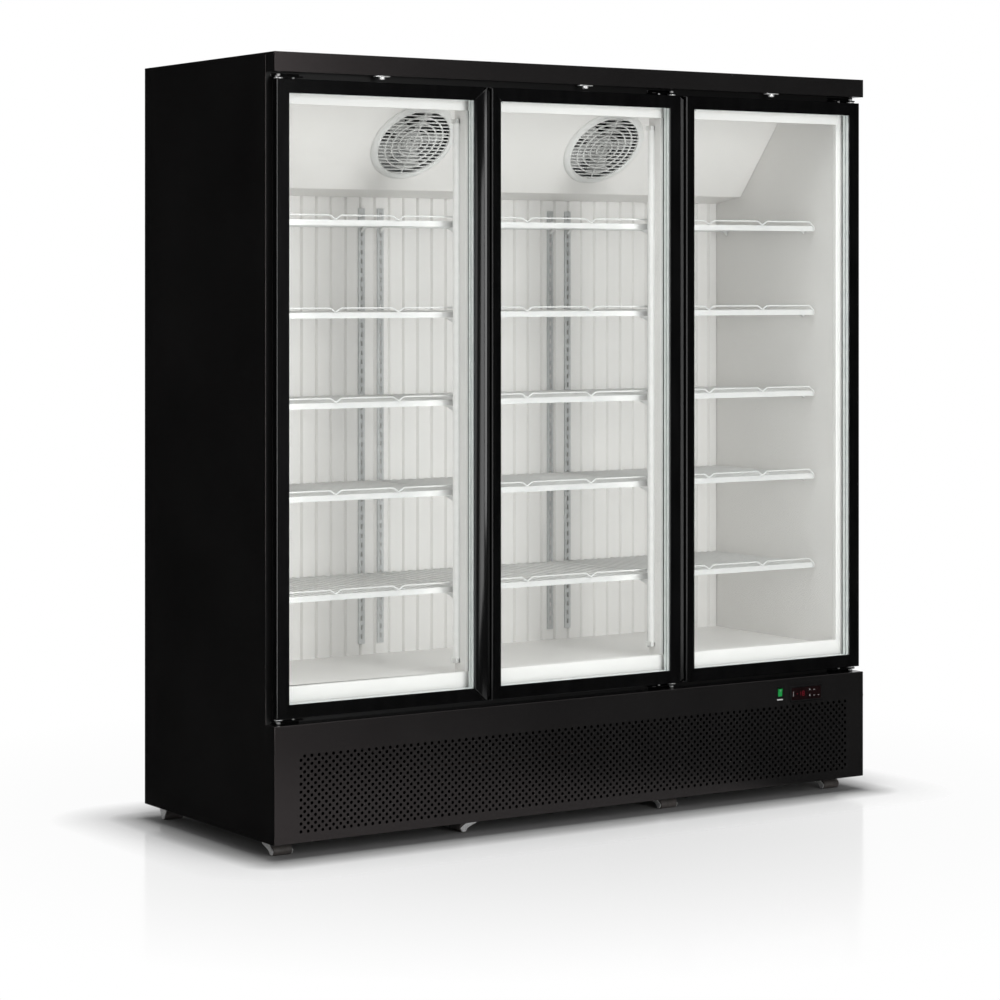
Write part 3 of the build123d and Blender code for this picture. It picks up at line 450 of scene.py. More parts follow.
spacer_metal = finish("spacer_bar", (0.7, 0.74, 0.73), (0.8, 0.83, 0.82), (0.3, 0.42), metal=0.1, tone=40.0,
                      grain=450.0)
drawn_copper = finish("drawn_copper", (0.012, 0.0075, 0.006), (0.024, 0.015, 0.012), (0.4, 0.6), metal=1.0,
                      tone=18.0, grain=500.0, stretch=(1, 1, 0.4))
black_enamel = finish("black_enamel", (0.002, 0.002, 0.0022), (0.0036, 0.0036, 0.0038), (0.6, 0.75),
                      gloss=0.0, tone=12.0, grain=300.0, relief=0.08)
pale_plastic = finish("pale_plastic", (0.66, 0.66, 0.65), (0.74, 0.74, 0.73), (0.4, 0.55), gloss=0.3,
                      tone=20.0)
fan_plastic = finish("fan_plastic", (0.006, 0.006, 0.0065), (0.01, 0.01, 0.0105), (0.45, 0.6), gloss=0.1,
                     tone=20.0, grain=1200.0, relief=0.1)
dark_nylon = finish("dark_nylon", (0.05, 0.045, 0.042), (0.09, 0.08, 0.075), (0.45, 0.62), gloss=0.3,
                    tone=60.0, grain=1500.0, relief=0.15)
seal_rubber = finish("seal_rubber", (0.009, 0.009, 0.009), (0.018, 0.018, 0.018), (0.55, 0.7), gloss=0.3,
                     tone=30.0, grain=1100.0, relief=0.2)
control_black = finish("control_moulding", (0.004, 0.004, 0.004), (0.007, 0.007, 0.0072), (0.3, 0.42),
                       gloss=0.06, tone=50.0, grain=1800.0, relief=0.1)
display_film = finish("display_film", (0.0045, 0.002, 0.0022), (0.008, 0.003, 0.0032), (0.2, 0.3), gloss=0.12,
                      tone=40.0, grain=200.0, relief=0.01)
key_print = finish("key_print", (0.32, 0.32, 0.32), (0.42, 0.42, 0.42), (0.4, 0.5), tone=200.0, grain=2000.0)
surround_sheet = two_tone("surround_sheet", black_tones, bright_tones,
                          (("X", -0.905, 0.905), ("Z", 0.372, 1.899)))
post_sheet = two_tone("post_sheet", black_tones, bright_tones, (("Y", -0.3058, 0.0),))
cover_sheet = faced("cover_sheet", white_tones, black_tones, (0, 0.77, 0.64))
foam_block = two_tone("foam_block", black_tones, foam_tones, (("Z", 0.346, 1.99),), (0.75, 0.9))
door_glass = clear_glass("door_glass")
lamp_glow = glowing("lamp_diffuser", (0.72, 0.72, 0.71), (1.0, 0.99, 0.965), 0.15, pitch=0.033)
switch_green = glowing("lit_green", (0.006, 0.15, 0.03), (0.008, 0.28, 0.055), 0.34)
digit_red = glowing("lit_red", (0.12, 0.004, 0.01), (0.5, 0.015, 0.04), 0.18)

forks = "front_castor_fork_1 front_castor_fork_2 front_castor_fork_3 front_castor_fork_4"
for finish_of, names in (
    (black_coat, "left_side_panel right_side_panel top_panel header_panel back_panel"),
    (black_enamel, "base_frame condenser_fan_shroud condenser_coil fan_motors compressor"),
    (foam_block, "insulation"),
    (surround_sheet, "front_frame"),
    (post_sheet, "mullions"),
    (white_sheet, "inner_liner back_duct_panel"),
    (cover_sheet, "evaporator_cover"),
    (white_wire, "shelf_clips"),
    (zinc_steel, f"castor_plates {forks}"),
    (fin_aluminium, "evaporator_coil"),
    (drawn_copper, "refrigerant_pipes"),
    (control_black, "switch_housing drip_tray"),
    (fan_plastic, "condenser_fan"),
    (pale_plastic, "evaporator_fan_left evaporator_fan_right"),
    (door_black, "door_left_frame door_middle_frame door_right_frame hinge_brackets"),
    (door_glass, "door_left_glass door_middle_glass door_right_glass"),
    (spacer_metal, "door_left_spacers door_middle_spacers door_right_spacers"),
    (seal_rubber, "door_left_gasket door_middle_gasket door_right_gasket"),
):
    for name in names.split():
        nodes[name].material_slots[0].material = finish_of

# Edges are rounded by so many millimetres
for width, names in (
    (0.3, "switch_housing"),
    (0.5, "hinge_brackets castor_plates drip_tray"),
    (0.6, forks),
    (1.2, "left_side_panel right_side_panel header_panel"),
    (1.5, "front_frame mullions"),
    (3.0, "compressor"),
):
    for name in names.split():
        ease_node(name, width * mm)
for name in ("door_left_frame", "door_middle_frame", "door_right_frame"):
    ease_node(name, 1.2 * mm, clamped=False)


# Base panel with its field of round holes
def base_panel():
    """A plate of cells, each a 12-point rectangle joined to a 12-point circle, with rims and flanges."""
    low, high = map(np.array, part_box("base_panel"))
    columns, rows = 170, 10
    radius, margin = 4.3 * mm, 5.15 * mm
    field_x0, field_x1 = -866 * mm - margin, 874 * mm + margin
    half_wide = (field_x1 - field_x0) / columns / 2
    half_tall = 9.8 * mm
    z0 = 58 * mm
    a = np.arange(12) * pi / 6
    hole = np.stack([np.cos(a), np.sin(a)], -1) * radius
    rim = np.array([(1, 0), (1, 0.5), (1, 1), (0, 1), (-1, 1), (-1, 0.5), (-1, 0), (-1, -0.5), (-1, -1),
                    (0, -1), (1, -1), (1, -0.5)]) * (half_wide, half_tall)
    c, r = np.meshgrid(np.arange(columns), np.arange(rows), indexing="ij")
    cx = field_x0 + (2 * c + 1) * half_wide
    cz = z0 + (2 * r + 1) * half_tall + (c % 2) * half_tall
    centres = np.stack([cx.ravel(), np.zeros(cx.size), cz.ravel()], -1)
    parts = [copies(holed_cell(rim, hole, low[1]), centres)]
    top = z0 + (2 * rows + 1) * half_tall
    plain = top + 6 * mm
    cut_x = field_x0 + np.arange(2 * columns + 1) * half_wide

    def patch(xs, zs, y):
        """A flat grid of the panel between rows of heights; xs may change from row to row."""
        xs = np.broadcast_to(xs, (len(zs), np.shape(xs)[-1]))
        zz = np.repeat(np.asarray(zs)[:, None], xs.shape[1], 1)
        return np.stack([xs, np.full(xs.shape, y), zz], -1).reshape(-1, 3), [grid_faces(*xs.shape)]

    quarter = half_tall / 2
    odd = np.arange(columns)
    ends = np.array([-1, 0, 1]) * half_wide
    for which, z_low in ((1, z0), (0, top - half_tall)):
        half_cell = patch(ends, z_low + np.array([0, quarter, 2 * quarter]), low[1])
        xs = field_x0 + (2 * odd[odd % 2 == which] + 1) * half_wide
        parts.append(copies(half_cell, np.outer(xs, X)))
    field_z = z0 + np.arange(4 * rows + 3) * quarter

    # Rims round the field, with the openings for the switch and the thermostat
    switch_low, switch_high = map(np.array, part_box("switch_housing"))
    stat_low, stat_high = map(np.array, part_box("thermostat"))
    inset = np.array([1.1, 0, 1.1]) * mm
    openings = [(switch_low + inset, switch_high - inset), (stat_low + 3.4 * inset, stat_high - 3.4 * inset)]
    full_x = np.concatenate([[low[0]], cut_x, [high[0]]])
    upper_x = full_x.copy()
    for o_low, o_high in openings:
        for edge in (o_low[0], o_high[0]):
            upper_x[np.abs(upper_x - edge).argmin()] = edge
    upper_z = np.sort([plain, *[corner[2] for pair in openings for corner in pair], high[2]])
    points, (faces,) = patch(upper_x, upper_z, low[1])
    middle = points[faces].mean(1)
    keep = np.ones(len(faces), bool)
    for o_low, o_high in openings:
        within = (middle > o_low) & (middle < o_high)
        keep &= ~(within[:, 0] & within[:, 2])
    parts.append((points, [faces[keep]]))
    parts.append(patch(np.stack([full_x, upper_x]), [top, plain], low[1]))
    parts.append(patch(full_x, [low[2], z0], low[1]))
    parts.append(patch([low[0], field_x0], field_z, low[1]))
    parts.append(patch([field_x1, high[0]], field_z, low[1]))

    # Flanges folded back from the four edges
    lip = low[1] + 13.5 * mm
    depths = np.array([low[1], lip, high[1]])
    edge_z = np.concatenate([[low[2]], field_z, upper_z])
    parts += [side_flange(x, depths, edge_z, way) for x, way in ((low[0], -1), (high[0], 1))]
    for z, xs, ys, order in ((high[2], upper_x, depths, 1), (low[2], full_x, depths[:2], -1)):
        yy, xx = np.meshgrid(ys, xs, indexing="ij")
        points = np.stack([xx, yy, np.full(yy.shape, z)], -1).reshape(-1, 3)
        parts.append((points, [grid_faces(*yy.shape)[:, ::order]]))
    add_piece("perforated_base_panel", join(*parts), "cabinet", black_coat, ["base_panel"],
              wall=1.5 * mm, bevel=1.8 * mm, segments=3, merge=2e-5)


# Wire shelves
def shelf_wires(name):
    """Wires laid front to back over cross wires, in a rim, with a front band and a dipping guard rail."""
    low, high = map(np.array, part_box(name))
    x0, x1, y0, y1 = low[0], high[0], low[1], high[1]
    top = SHELF_TOPS[0]
    wire, cross, rim = 1.9 * mm, 2.4 * mm, 3.0 * mm
    front = y0 + 6 * mm
    wires = 24
    xs = np.linspace(x0 + 12 * mm, x1 - 12 * mm, wires)
    z = top - wire
    path = [(0, front, z - 10 * mm), (0, front, z - 1.5 * mm), (0, front + 1.5 * mm, z), (0, y1 - rim, z)]
    parts = [copies(tube(path, wire, 6, up=X), np.outer(xs, X))]
    under = z - wire - cross
    for y in (y0 + 90 * mm, (y0 + y1) / 2, y1 - 70 * mm):
        parts.append(tube([(x0 + rim, y, under), (x1 - rim, y, under)], cross, 6))
    loop = rounded(x1 - x0 - 2 * rim, y1 - front - 2 * rim, 8 * mm, 4) + ((x0 + x1) / 2, (front + y1) / 2)
    parts.append(tube(np.column_stack([loop, np.full(len(loop), under)]), rim, 8, ring=True))
    band_low = (x0 + 1 * mm, y0 + 4.2 * mm, top - 14 * mm)
    band_high = (x1 - 1 * mm, y0 + 5.4 * mm, top + 0.5 * mm)
    parts.append(box(band_low, band_high))
    third = (x1 - x0) / 3
    guard = 2.0 * mm
    rail = top + 14 * mm - guard
    bend = rail - 1.5 * mm
    dip = top + 2 * mm
    foot = top - 12 * mm
    knee = top - 2 * mm
    line = [(x0 + guard, foot), (x0 + guard, knee), (x0 + 16 * mm, bend), (x0 + 20 * mm, rail)]
    for x in (x0 + third, x0 + 2 * third):
        line += [(x - 18 * mm, rail), (x - 14 * mm, bend), (x - 2.5 * mm, dip + 1 * mm), (x, dip),
                 (x + 2.5 * mm, dip + 1 * mm), (x + 14 * mm, bend), (x + 18 * mm, rail)]
    line += [(x1 - 20 * mm, rail), (x1 - 16 * mm, bend), (x1 - guard, knee), (x1 - guard, foot)]
    line = np.array(line)
    bent = np.column_stack([line[:, 0], np.full(len(line), y0 + guard), line[:, 1]])
    parts.append(tube(bent, guard, 8, up=Y))
    shelf = copies(join(*parts), np.outer(SHELF_TOPS - top, Z))
    add_piece(f"wire_{name}", shelf, "cabinet", white_wire, [name], smooth=True)


# Lamps
def lamps():
    """Half-round diffusers, an ellipse arc carried upwards, each in a flat white channel with end caps."""
    low, high = map(np.array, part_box("led_lamps"))
    middle = (low[1] + high[1]) / 2
    wide = high[1] - low[1]
    a = np.linspace(-pi / 2, pi / 2, 15)
    cap, deep = 12 * mm, 4 * mm
    strips, channels = [], []
    for flank in (-352, -272, 272, 352):
        way = 1 if flank in (-272, 352) else -1
        x = flank * mm
        arc = np.stack([x + way * (4 + 8 * np.cos(a)) * mm, middle + 0.42 * wide * np.sin(a)], -1)[::way]
        strips.append(lofted([arc, arc], [low[2] + cap, high[2] - cap], np.zeros(3), X, Y))
        xs = sorted((x, x + way * deep))
        channels.append(box((xs[0], low[1], low[2]), (xs[1], high[1], high[2])))
        ends = sorted((x, x + way * cap))
        for z in (low[2], high[2] - cap):
            channels.append(box((ends[0], low[1], z), (ends[1], high[1], z + cap)))
    add_piece("lamp_diffusers", join(*strips), "cabinet", lamp_glow, ["led_lamps"], smooth=True)
    add_piece("lamp_channels", join(*channels), "cabinet", white_moulding, ["led_lamps"],
              bevel=0.8 * mm, merge=1e-9)


# Fan guards
def fan_guards():
    """Rings on a slant, level bars and a steep spoke cut to the round opening, and a domed flange."""
    # How far the cover's slant runs back and drops
    run, drop = 212.0, 253.0
    length = (run * run + drop * drop) ** 0.5
    out = -np.array([0, drop / length, run / length])
    level = X
    steep = np.cross(out, level)
    rings = []
    for r in (24, 44.5, 65, 85):
        ring = [(r - 2, 3), (r + 2, 3), (r + 1.6, 6.5), (r - 1.6, 6.5), (r - 2, 3)]
        rings.append(spun(np.array(ring) * mm, np.zeros(3), out, 48))
    dome = [(105, 0.3), (125, 0.3), (124.5, 2), (121, 5), (115, 7.6), (110, 8), (106, 7.2), (104.5, 4),
            (105, 0.3)]
    flange = spun(np.array(dome) * mm, np.zeros(3), out, 64)
    stem = rounded(3.2 * mm, 211 * mm, 1.2 * mm, 3)
    spoke = lofted([stem, stem], [3.7 * mm, 5.7 * mm], np.zeros(3), level, steep)
    bars = []
    for row in range(-9, 10):
        height = row * 11.25 * mm
        reach = ((106 * mm) ** 2 - height**2) ** 0.5
        outline = rounded(2 * reach, 3.2 * mm, 1.2 * mm, 3)
        bars.append(lofted([outline, outline], [3.5 * mm, 5.5 * mm], height * steep, level, steep))
    screws = spun(np.array([(0, 0.3), (4, 0.3), (4, 8), (3, 8.6), (0, 8.8)]) * mm, np.zeros(3), out, 16)
    a = (np.arange(4) + 0.5) * pi / 2
    around = 115 * mm * (np.cos(a)[:, None] * level + np.sin(a)[:, None] * steep) - 1.6 * mm * out
    guard = join(*rings, flange, spoke, *bars)
    centres = np.array([[-312, 19, 1798.5], [312, 19, 1798.5]]) * mm
    add_piece("ringed_fan_guards", copies(guard, centres), "cabinet", white_moulding, ["fan_guards"],
              smooth=True, merge=1e-7)
    add_piece("guard_screws", copies(copies(screws, around), centres), "cabinet", zinc_steel,
              smooth=True)


# Slotted pilasters
def pilasters():
    """Strips with a row of upright slots, each in a cell of its own, folded back at both edges."""
    wide, pitch = 20 * mm, 25 * mm
    low, high = 435 * mm, 1625 * mm
    cells = int((high - low) / pitch)
    start = (high - low - cells * pitch) / 2
    slot = rounded(5 * mm, 14 * mm, 2.4 * mm, 3)
    edge = np.array([(1, 0.3), (1, 1), (0.3, 1), (-0.3, 1), (-1, 1), (-1, 0.3), (-1, -0.3), (-1, -1),
                     (-0.3, -1), (0.3, -1), (1, -1), (1, -0.3)]) * (wide / 2, pitch / 2)
    zs = low + start + (np.arange(cells) + 0.5) * pitch
    parts = [copies(holed_cell(edge, slot), np.outer(zs, Z))]
    for z0, z1 in ((low, low + start), (high - start, high)):
        xs, zz = np.meshgrid(np.array([-1, -0.3, 0.3, 1]) * wide / 2, [z0, z1])
        parts.append((np.stack([xs, 0 * xs, zz], -1).reshape(-1, 3), [grid_faces(2, 4)]))
    cuts = (zs[:, None] + np.array([-0.5, -0.15, 0.15]) * pitch).ravel()
    side_z = np.concatenate([[low], cuts, [zs[-1] + pitch / 2, high]])
    parts += [side_flange(x, [0, 3.9 * mm], side_z, way) for x, way in ((-wide / 2, -1), (wide / 2, 1))]
    strip = copies(join(*parts), [(0, -3.95 * mm, 0)])
    places = [(s * 880, y, -s * 90) for s in (-1, 1) for y in (-167, 189)]
    for x in (-312, 312):
        for off in (-30, 30):
            places += [(x + off, 242, 0), (x + off, -246, 180)]
    parts = [copies(turned(strip, Z, radians(-angle)), [(x * mm, y * mm, 0)]) for x, y, angle in places]
    add_piece("slotted_pilasters", join(*parts), "cabinet", slotted_steel, ["shelf_pilasters"],
              wall=1.0 * mm, merge=1e-5)


# Castor rollers
def rollers():
    """Rounded rollers: a tread with eased shoulders, a dished face and a hub, turned about the axle."""
    names = [f"front_castor_wheel_{i}" for i in range(1, 5)]
    for name in (*names, "rear_castor_wheel_left", "rear_castor_wheel_right"):
        low, high = map(np.array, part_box(name))
        size = high - low
        axis = X if size[0] > size[1] else Y
        centre = (low + high) / 2
        half = max(size[0], size[1]) / 2
        end = -half / mm
        profile = [(3.4, end), (6, end), (6.5, end + 1), (8.4, end + 1.3), (9.4, end + 0.2), (10.8, end),
                   (11.6, end + 0.5), (12, end + 2)]
        mirrored = [(r, -h) for r, h in profile[::-1]]
        ring = np.array(profile + mirrored + [profile[0]]) * mm
        roller = spun(ring, centre, axis, 48)
        add_piece(f"{name}_roller", roller, name, dark_nylon, [name], smooth=True)


# Controls
def controls():
    """Rocker with a hollowed face, and a thermostat with rounded bezel, film, lit digits and printed keys."""
    low, high = map(np.array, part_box("switch_rocker"))
    wide = high[0] - low[0]
    pivot_y, pivot_z = -351 * mm, 296 * mm
    pivot = np.array([(low[0] + high[0]) / 2, pivot_y, pivot_z])
    reach, heel = 10.4 * mm, 7.2 * mm
    t = np.linspace(-1, 1, 13)
    front = np.stack([pivot_y - (3.0 + 1.27 * np.abs(t) ** 1.5) * mm, pivot_z + reach * t], -1)
    back = np.array([(-345 * mm, pivot_z + heel), (-340.5 * mm, pivot_z), (-345 * mm, pivot_z - heel)])
    outline = np.concatenate([front, back]) - pivot[1:]
    insets = [0.6, 0, 0, 0.6]
    heights = np.array([-wide / 2, -wide / 2 + 0.6 * mm, wide / 2 - 0.6 * mm, wide / 2])
    loops = [outline * (1 - 0.05 * i) for i in insets]
    rocker = lofted([o[::-1] for o in loops], heights, pivot, Y, Z)
    tilt = radians(7)
    rocker = turned(rocker, X, tilt, pivot)
    add_piece("lit_rocker", rocker, "switch_rocker", switch_green, ["switch_rocker"],
              smooth=True)
    mark = box(pivot + np.array([-0.5, -4.0, 3.6]) * mm, pivot + np.array([0.5, -3.2, 7.2]) * mm)
    add_piece("rocker_mark", turned(mark, X, tilt, pivot), "switch_rocker", key_print)
    plate = rounded(20 * mm, 3.6 * mm, 0.8 * mm, 3)
    face_y = -353 * mm
    strip = lofted([plate, plate], [0, 0.4 * mm], np.array([642 * mm, face_y, 276 * mm]), X, Z)
    add_piece("switch_strip", strip, "cabinet", key_print)

    low, high = map(np.array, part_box("thermostat"))
    middle = (low + high) / 2
    centre = np.array([middle[0], face_y, middle[2]])
    w, h = high[0] - low[0], high[2] - low[2]
    outs = [rounded(w - 2 * i * mm, h - 2 * i * mm, (5 - i) * mm) for i in (0, 0, 0.4, 1.4, 3.0, 3.6, 4.4)]
    bezel = lofted(outs, np.array([0, 1.6, 2.8, 3.7, 4.0, 3.7, 2.6]) * mm, centre, X, Z)
    body_loop = rounded(w - 8 * mm, h - 8 * mm, 2 * mm)
    body = lofted([body_loop, body_loop], np.array([-50, -0.05]) * mm, centre, X, Z)
    add_piece("thermostat_body", join(bezel, body), "cabinet", control_black, ["thermostat"],
              smooth=True)
    film_loop = rounded(w - 10 * mm, h - 10 * mm, 2 * mm)
    film = lofted([film_loop, film_loop], np.array([2.65, 3.0]) * mm, centre, X, Z)
    add_piece("thermostat_film", film, "cabinet", display_film)

    def bar(x, z, wide, tall, lean=0.0):
        """A thin raised bar of the display at a place on the film."""
        loop = rounded(wide * mm, tall * mm, 0.3 * mm, 2)
        loop = np.stack([loop[:, 0] + lean * loop[:, 1], loop[:, 1]], -1)
        return lofted([loop, loop], np.array([3.02, 3.2]) * mm, centre + np.array([x, 0, z]) * mm, X, Z)

    lit = {"1": "bc", "8": "abcdefg"}
    places = {"a": (0, 6, 5, 1), "d": (0, -6, 5, 1), "g": (0, 0, 5, 1), "b": (2.7, 3, 1, 5),
              "c": (2.7, -3, 1, 5), "e": (-2.7, -3, 1, 5), "f": (-2.7, 3, 1, 5)}
    digits = [bar(-32, 0, 4.5, 1)]
    for number, x in (("1", -23), ("8", -11)):
        digits += [bar(x + dx, *rest) for dx, *rest in map(places.get, lit[number])]
    add_piece("display_digits", join(*digits), "cabinet", digit_red, merge=1e-9)
    keys = [bar(x, z, 5, 1.0) for x, z in ((12, 8), (12, -8), (27, 8), (27, -8), (42, -8))]
    keys += [bar(x, z + 2.2, 1.0, 3.2, lean) for x, z in ((12, 8), (12, -8)) for lean in (0.6, -0.6)]
    keys += [bar(-46, z, 1.2, 4, lean) for z, lean in ((5, 0.35), (0, 0), (-5, -0.35))]
    add_piece("key_marks", join(*keys), "cabinet", key_print, merge=1e-9)


# Locks
def locks():
    """Round lock barrels: a flat plate with rounded ends, a turned boss and a key slot bar."""
    low, high = map(np.array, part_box("door_locks"))
    y = (low[1] + high[1]) / 2
    loop = rounded(44 * mm, high[1] - low[1], 6 * mm, 6)
    top = high[2]
    plate = lofted([loop, loop, loop * 0.97], np.array([0, 1.5, 2.0]) * mm, np.array([0, y, top]), X, -Y)
    turning = [(0, 0), (8, 0), (8, 5), (7.4, 6.6), (6.2, 7.0), (5.6, 6.4), (1.2, 6.4), (0, 6.4)]
    boss = spun(np.array(turning) * mm, np.array([0, y, top - 2 * mm]), -Z, 32)
    key = box((-0.6 * mm, y - 3.5 * mm, top - 8.9 * mm), (0.6 * mm, y + 3.5 * mm, top - 8.3 * mm))
    xs = np.array([-624, 0, 624]) * mm
    offsets = np.outer(xs, X)
    add_piece("lock_barrels", copies(join(plate, boss), offsets), "cabinet", zinc_steel, ["door_locks"],
              smooth=True)
    add_piece("lock_key_slots", copies(key, offsets), "cabinet", control_black)


# Hinge collars
def hinge_collars():
    """Bright sleeves and heads of the hinge pins, turned about Z, and a small stop screw beside each."""
    low, high = map(np.array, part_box("door_left_frame"))
    pin_y = -326 * mm
    ring = [(8.3, 0.5), (10.5, 0.5), (11.0, 1.0), (11.0, 3.2), (10.5, 3.7), (8.3, 3.7), (8.3, 0.5)]
    sleeve = spun(np.array(ring) * mm, np.zeros(3), Z, 32)
    screw = spun(np.array([(0, 1.4), (2.2, 1.6), (3.2, 2.6), (3.2, 4.3), (0, 4.3)]) * mm, np.zeros(3), Z, 20)
    head = spun(np.array([(0, 7.4), (5.0, 7.4), (5.0, 12.2), (4.4, 13), (0, 13)]) * mm, np.zeros(3), Z, 20)
    over, under = [], []
    for pin_x, way in ((-915 * mm, 1), (291 * mm, -1), (915 * mm, -1)):
        for part, x in ((sleeve, pin_x), (head, pin_x), (screw, pin_x + way * 42 * mm)):
            over.append(copies(part, [(x, pin_y, high[2])]))
            upside = (part[0] * (1, 1, -1), [f[:, ::-1] for f in part[1]])
            under.append(copies(upside, [(x, pin_y, low[2])]))
    add_piece("hinge_collars", join(*over, *under), "cabinet", zinc_steel, smooth=True)


# Vents of the back panel
def vent_louvres():
    """Pressed hoods inside the rear vents: a quarter round along each slot, closed above and open below."""
    low, high = map(np.array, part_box("back_panel"))
    deck, floor = 92 * mm, 345 * mm
    rows = 6
    pitch = (floor - deck) / (rows + 1)
    tall = pitch / 3
    long = high[0] / 2
    a = np.linspace(0, pi / 2, 7)
    reach = tall + 6 * mm
    curve = np.stack([-reach * np.sin(a), reach * np.cos(a) - tall / 2 - 1 * mm], -1)
    past = 16 * mm
    xs = np.array([-long / 2 - past, long / 2 + past])
    yy, xx = np.meshgrid(curve[:, 0], xs, indexing="ij")
    zz = np.repeat(curve[:, 1][:, None], 2, 1)
    hood = (np.stack([xx, yy, zz], -1).reshape(-1, 3), [grid_faces(*xx.shape)])
    places = [(x, low[1] - 0.05 * mm, deck + (row + 1) * pitch) for row in range(rows) for x in (-long, long)]
    add_piece("vent_louvres", copies(hood, places), "cabinet", black_coat, smooth=True,
              wall=0.8 * mm)


base_panel()
for bay in ("shelves_left", "shelves_middle", "shelves_right"):
    shelf_wires(bay)
lamps()
fan_guards()
pilasters()
rollers()
controls()
locks()
hinge_collars()
vent_louvres()


# Stage, light and camera
def seen_ray(tree):
    """One for a ray from the eye, a mirror or a see-through surface, and nought for the rest."""
    path = tree.nodes.new("ShaderNodeLightPath")
    share = path.outputs["Is Camera Ray"]
    for kind in ("Is Glossy Ray", "Is Transmission Ray"):
        share = maths(tree, "MAXIMUM", share, path.outputs[kind])
    return share


def area_lamp(name, wide, tall, power):
    """A rectangular lamp that the camera doesn't see."""
    lamp = bpy.data.lights.new(name, "AREA")
    lamp.shape, lamp.size, lamp.size_y, lamp.energy = "RECTANGLE", wide, tall, power
    obj = placed(name, lamp)
    obj.visible_camera = False
    return obj


def pale_floor():
    """A floor that keeps the cast shadow and a faint mirror image near the object and is white further out;
    its colour also carries a painted shadow, darkened under the object and within a tenth of a metre of it.
    """
    size = 40.0
    mesh = bpy.data.meshes.new("floor")
    corners = [(-size, -size, 0), (size, -size, 0), (size, size, 0), (-size, size, 0)]
    mesh.from_pydata(corners, [], [(0, 1, 2, 3)])
    floor = placed("floor", mesh)
    material, tree, shader, add = new_finish("pale_floor")
    place = object_place(tree, add)
    tint = ramp(tree, add, noise_at(tree, add, place, 1.5), (0.96, 0.96, 0.96), (0.98, 0.98, 0.98))
    shader.inputs["Roughness"].default_value = 0.6
    shader.inputs["Specular IOR Level"].default_value = 0.0
    axes = add("ShaderNodeSeparateXYZ")
    tree.links.new(place, axes.inputs["Vector"])
    outside = add("ShaderNodeCombineXYZ")
    for axis, edge in (("X", cad_high[0]), ("Y", cad_high[1])):
        past = maths(tree, "SUBTRACT", maths(tree, "ABSOLUTE", axes.outputs[axis]), edge)
        tree.links.new(maths(tree, "MAXIMUM", past, 0.0), outside.inputs[axis])

    def fade(source, near, far, start, end):
        """A share that runs from start to end between two distances."""
        reach = add("ShaderNodeVectorMath", operation="LENGTH")
        tree.links.new(source, reach.inputs[0])
        return spread(tree, add, reach.outputs["Value"], start, end, near, far)

    beyond = outside.outputs["Vector"]
    # Painted shadow: the floor's colour is cut to three tenths under the object and comes back to full within
    # 0.1 m outside its footprint
    painted_shadow = add("ShaderNodeMix", data_type="RGBA", blend_type="MULTIPLY")
    painted_shadow.inputs["Factor"].default_value = 1.0
    tree.links.new(tint, painted_shadow.inputs[6])
    tree.links.new(fade(beyond, 0.0, 0.1, 0.3, 1.0), painted_shadow.inputs[7])
    tree.links.new(painted_shadow.outputs[2], shader.inputs["Base Color"])
    white = add("ShaderNodeEmission")
    share = maths(tree, "MULTIPLY", fade(beyond, 0.07, 0.25, 0.0, 1.0), seen_ray(tree))
    ground = mixed(tree, share, shader.outputs["BSDF"], white.outputs["Emission"])
    polish = add("ShaderNodeBsdfGlossy")
    polish.inputs["Roughness"].default_value = 0.12
    mirror = maths(tree, "MULTIPLY", fade(place, 0.1, 2.05, 0.32, 0.0), fade(beyond, 0.0, 0.04, 0.0, 1.0))
    surface_of(tree, mixed(tree, mirror, ground, polish.outputs["BSDF"]))
    mesh.materials.append(material)


def studio():
    """A white surround that lights less than it shows, soft boxes, and strips that only gloss sees."""
    world = bpy.data.worlds.new("studio")
    bpy.context.scene.world = world
    world.use_nodes = True
    tree = world.node_tree
    sky = tree.nodes["Background"]
    level = tree.nodes.new("ShaderNodeMapRange")
    level.inputs["To Min"].default_value = 0.51
    level.inputs["To Max"].default_value = 1.0
    tree.links.new(seen_ray(tree), level.inputs["Value"])
    tree.links.new(level.outputs["Result"], sky.inputs["Strength"])
    sky.inputs["Color"].default_value = (1, 1, 1, 1)
    for name, place, aim, size, power in (
        ("front_softbox", (0.45, -5.2, 1.5), (-0.2, -0.35, 1.2), (1.6, 3.0), 116.0),
        ("top_softbox", (-0.6, -1.6, 4.6), (0, 0, 0.6), (3.0, 2.4), 104.0),
        ("edge_strip", (-1.42, -3.2, 1.1), (-0.3, -0.35, 1.1), (0.25, 2.2), 5.0),
        ("grip_strip", (-0.62, -3.2, 1.1), (-0.3, -0.35, 1.1), (0.3, 2.2), 12.0),
        ("rim_strip", (-3.1, -1.56, 1.1), (-0.93, -0.35, 1.1), (0.3, 2.2), 30.0),
    ):
        obj = area_lamp(name, *size, power)
        way = np.subtract(aim, place)
        obj.location = place
        obj.rotation_euler = (atan2(np.hypot(way[0], way[1]), -way[2]), 0, atan2(-way[0], way[1]))
        obj.visible_diffuse = not name.endswith("strip")


def shelf_light():
    """The light inside the cabinet: a slim upright lamp at each diffuser and one at the left wall."""
    low, high = map(np.array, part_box("led_lamps"))
    middle = (low + high) / 2
    clear = 14 * mm
    for index, (flank, way) in enumerate(((-352, -1), (-272, 1), (272, -1), (352, 1), (-880, 1)), start=1):
        obj = area_lamp(f"strip_light_{index}", high[2] - low[2], 0.02, STRIP_POWER)
        obj.data.color = (1.0, 0.99, 0.97)
        obj.location = (flank * mm + way * clear, middle[1], middle[2])
        obj.rotation_euler = (0, -way * pi / 2, radians(STRIP_TURN * way))
        obj.visible_glossy = False


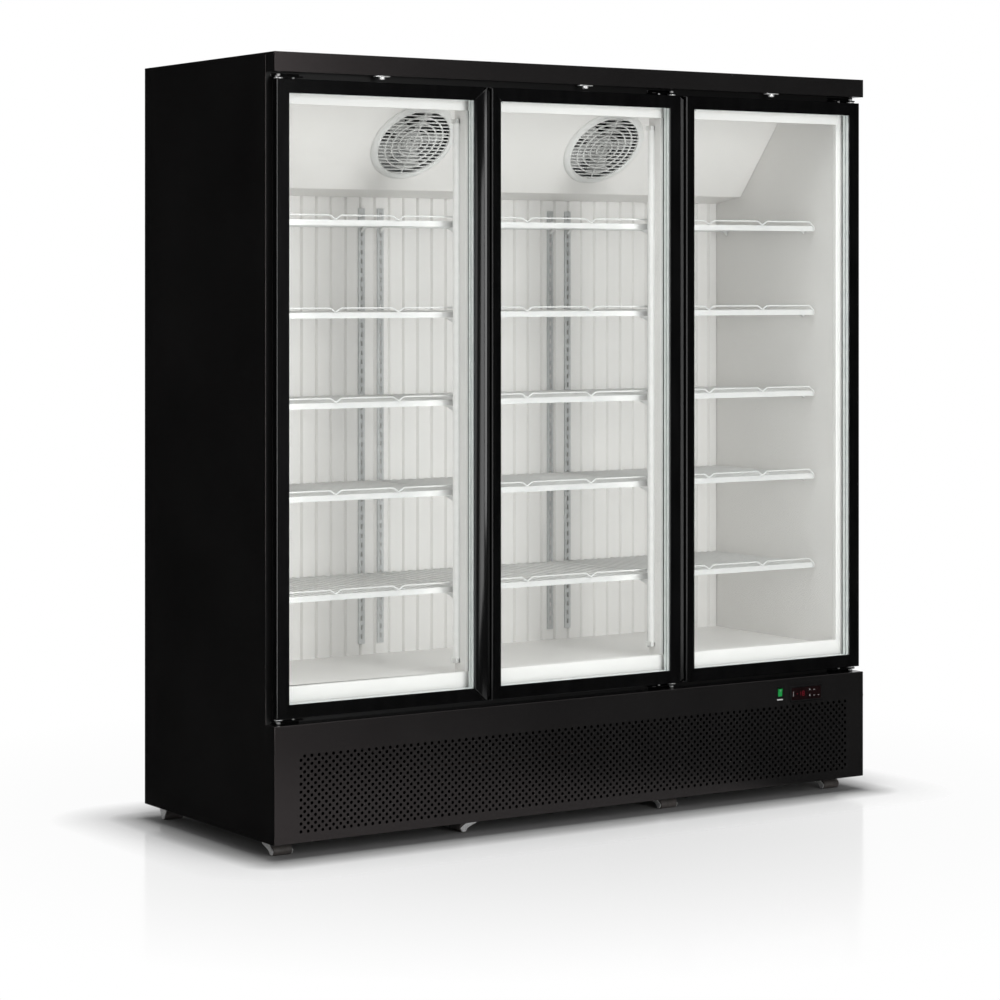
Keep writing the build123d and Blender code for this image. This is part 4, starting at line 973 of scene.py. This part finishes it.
def black_flags():
    """Dark cards that only gloss sees: each runs out over the floor, curves up and stands as a wall."""
    material, tree, shader, add = new_finish("black_card")
    shader.inputs["Base Color"].default_value = (0.002, 0.002, 0.002, 1)
    shader.inputs["Specular IOR Level"].default_value = 0.0
    shader.inputs["Roughness"].default_value = 1.0
    side = add("ShaderNodeNewGeometry")
    through = add("ShaderNodeBsdfTransparent")
    surface_of(tree, mixed(tree, side.outputs["Backfacing"], shader.outputs["BSDF"], through.outputs["BSDF"]))
    a = np.linspace(0, pi / 2, 7)
    lift, curve, run, top = 0.003, 2.0, 7.0, 9.0
    for name, centre, first, last, starts, hand in (
        ("front_card", (0.3, -0.36), -50.0, 100.0, ((-35.0, 5.0), (1.5, 0.45)), 1),
        ("side_card", (-0.95, -0.45), 95.0, 178.0, ((95.0, 178.0), (0.05, 0.05)), -1),
    ):
        turn = np.linspace(first, last, 16)
        near = np.interp(turn, *starts)
        turn = np.radians(turn)
        far = np.concatenate([[3.0], run + curve * np.sin(a), [run + curve]])
        out = np.vstack([near, np.repeat(far[:, None], len(turn), 1)])
        high = np.concatenate([[lift, lift], lift + curve - curve * np.cos(a), [top]])
        xx = centre[0] + out * np.sin(turn) * hand
        yy = centre[1] - out * np.cos(turn)
        points = np.stack([xx, yy, np.repeat(high[:, None], len(turn), 1)], -1)
        faces = grid_faces(len(out), len(turn))
        mesh = bpy.data.meshes.new(name)
        mesh.from_pydata(points.reshape(-1, 3).tolist(), [], faces.tolist())
        mesh.materials.append(material)
        if mesh.polygons[0].normal.z < 0:
            mesh.flip_normals()
        card = placed(name, mesh)
        card.visible_camera = card.visible_diffuse = False
        card.visible_shadow = card.visible_transmission = False


def camera():
    """The photograph's viewpoint, fitted to the casing's corners: level, turned to the right, shifted."""
    lens = bpy.data.cameras.new("viewpoint")
    lens.lens, lens.sensor_width, lens.shift_y = 105.79, 36.0, -0.2176
    lens.clip_end = 200
    obj = placed("viewpoint", lens)
    obj.location = (-4.4388, -6.6739, 1.4224)
    obj.rotation_euler = (radians(90), 0, radians(-33.35))
    bpy.context.scene.camera = obj


pale_floor()
studio()
shelf_light()
black_flags()
camera()
bpy.context.scene.view_settings.view_transform = "Standard"
bpy.context.scene.cycles.transparent_max_bounces = 32
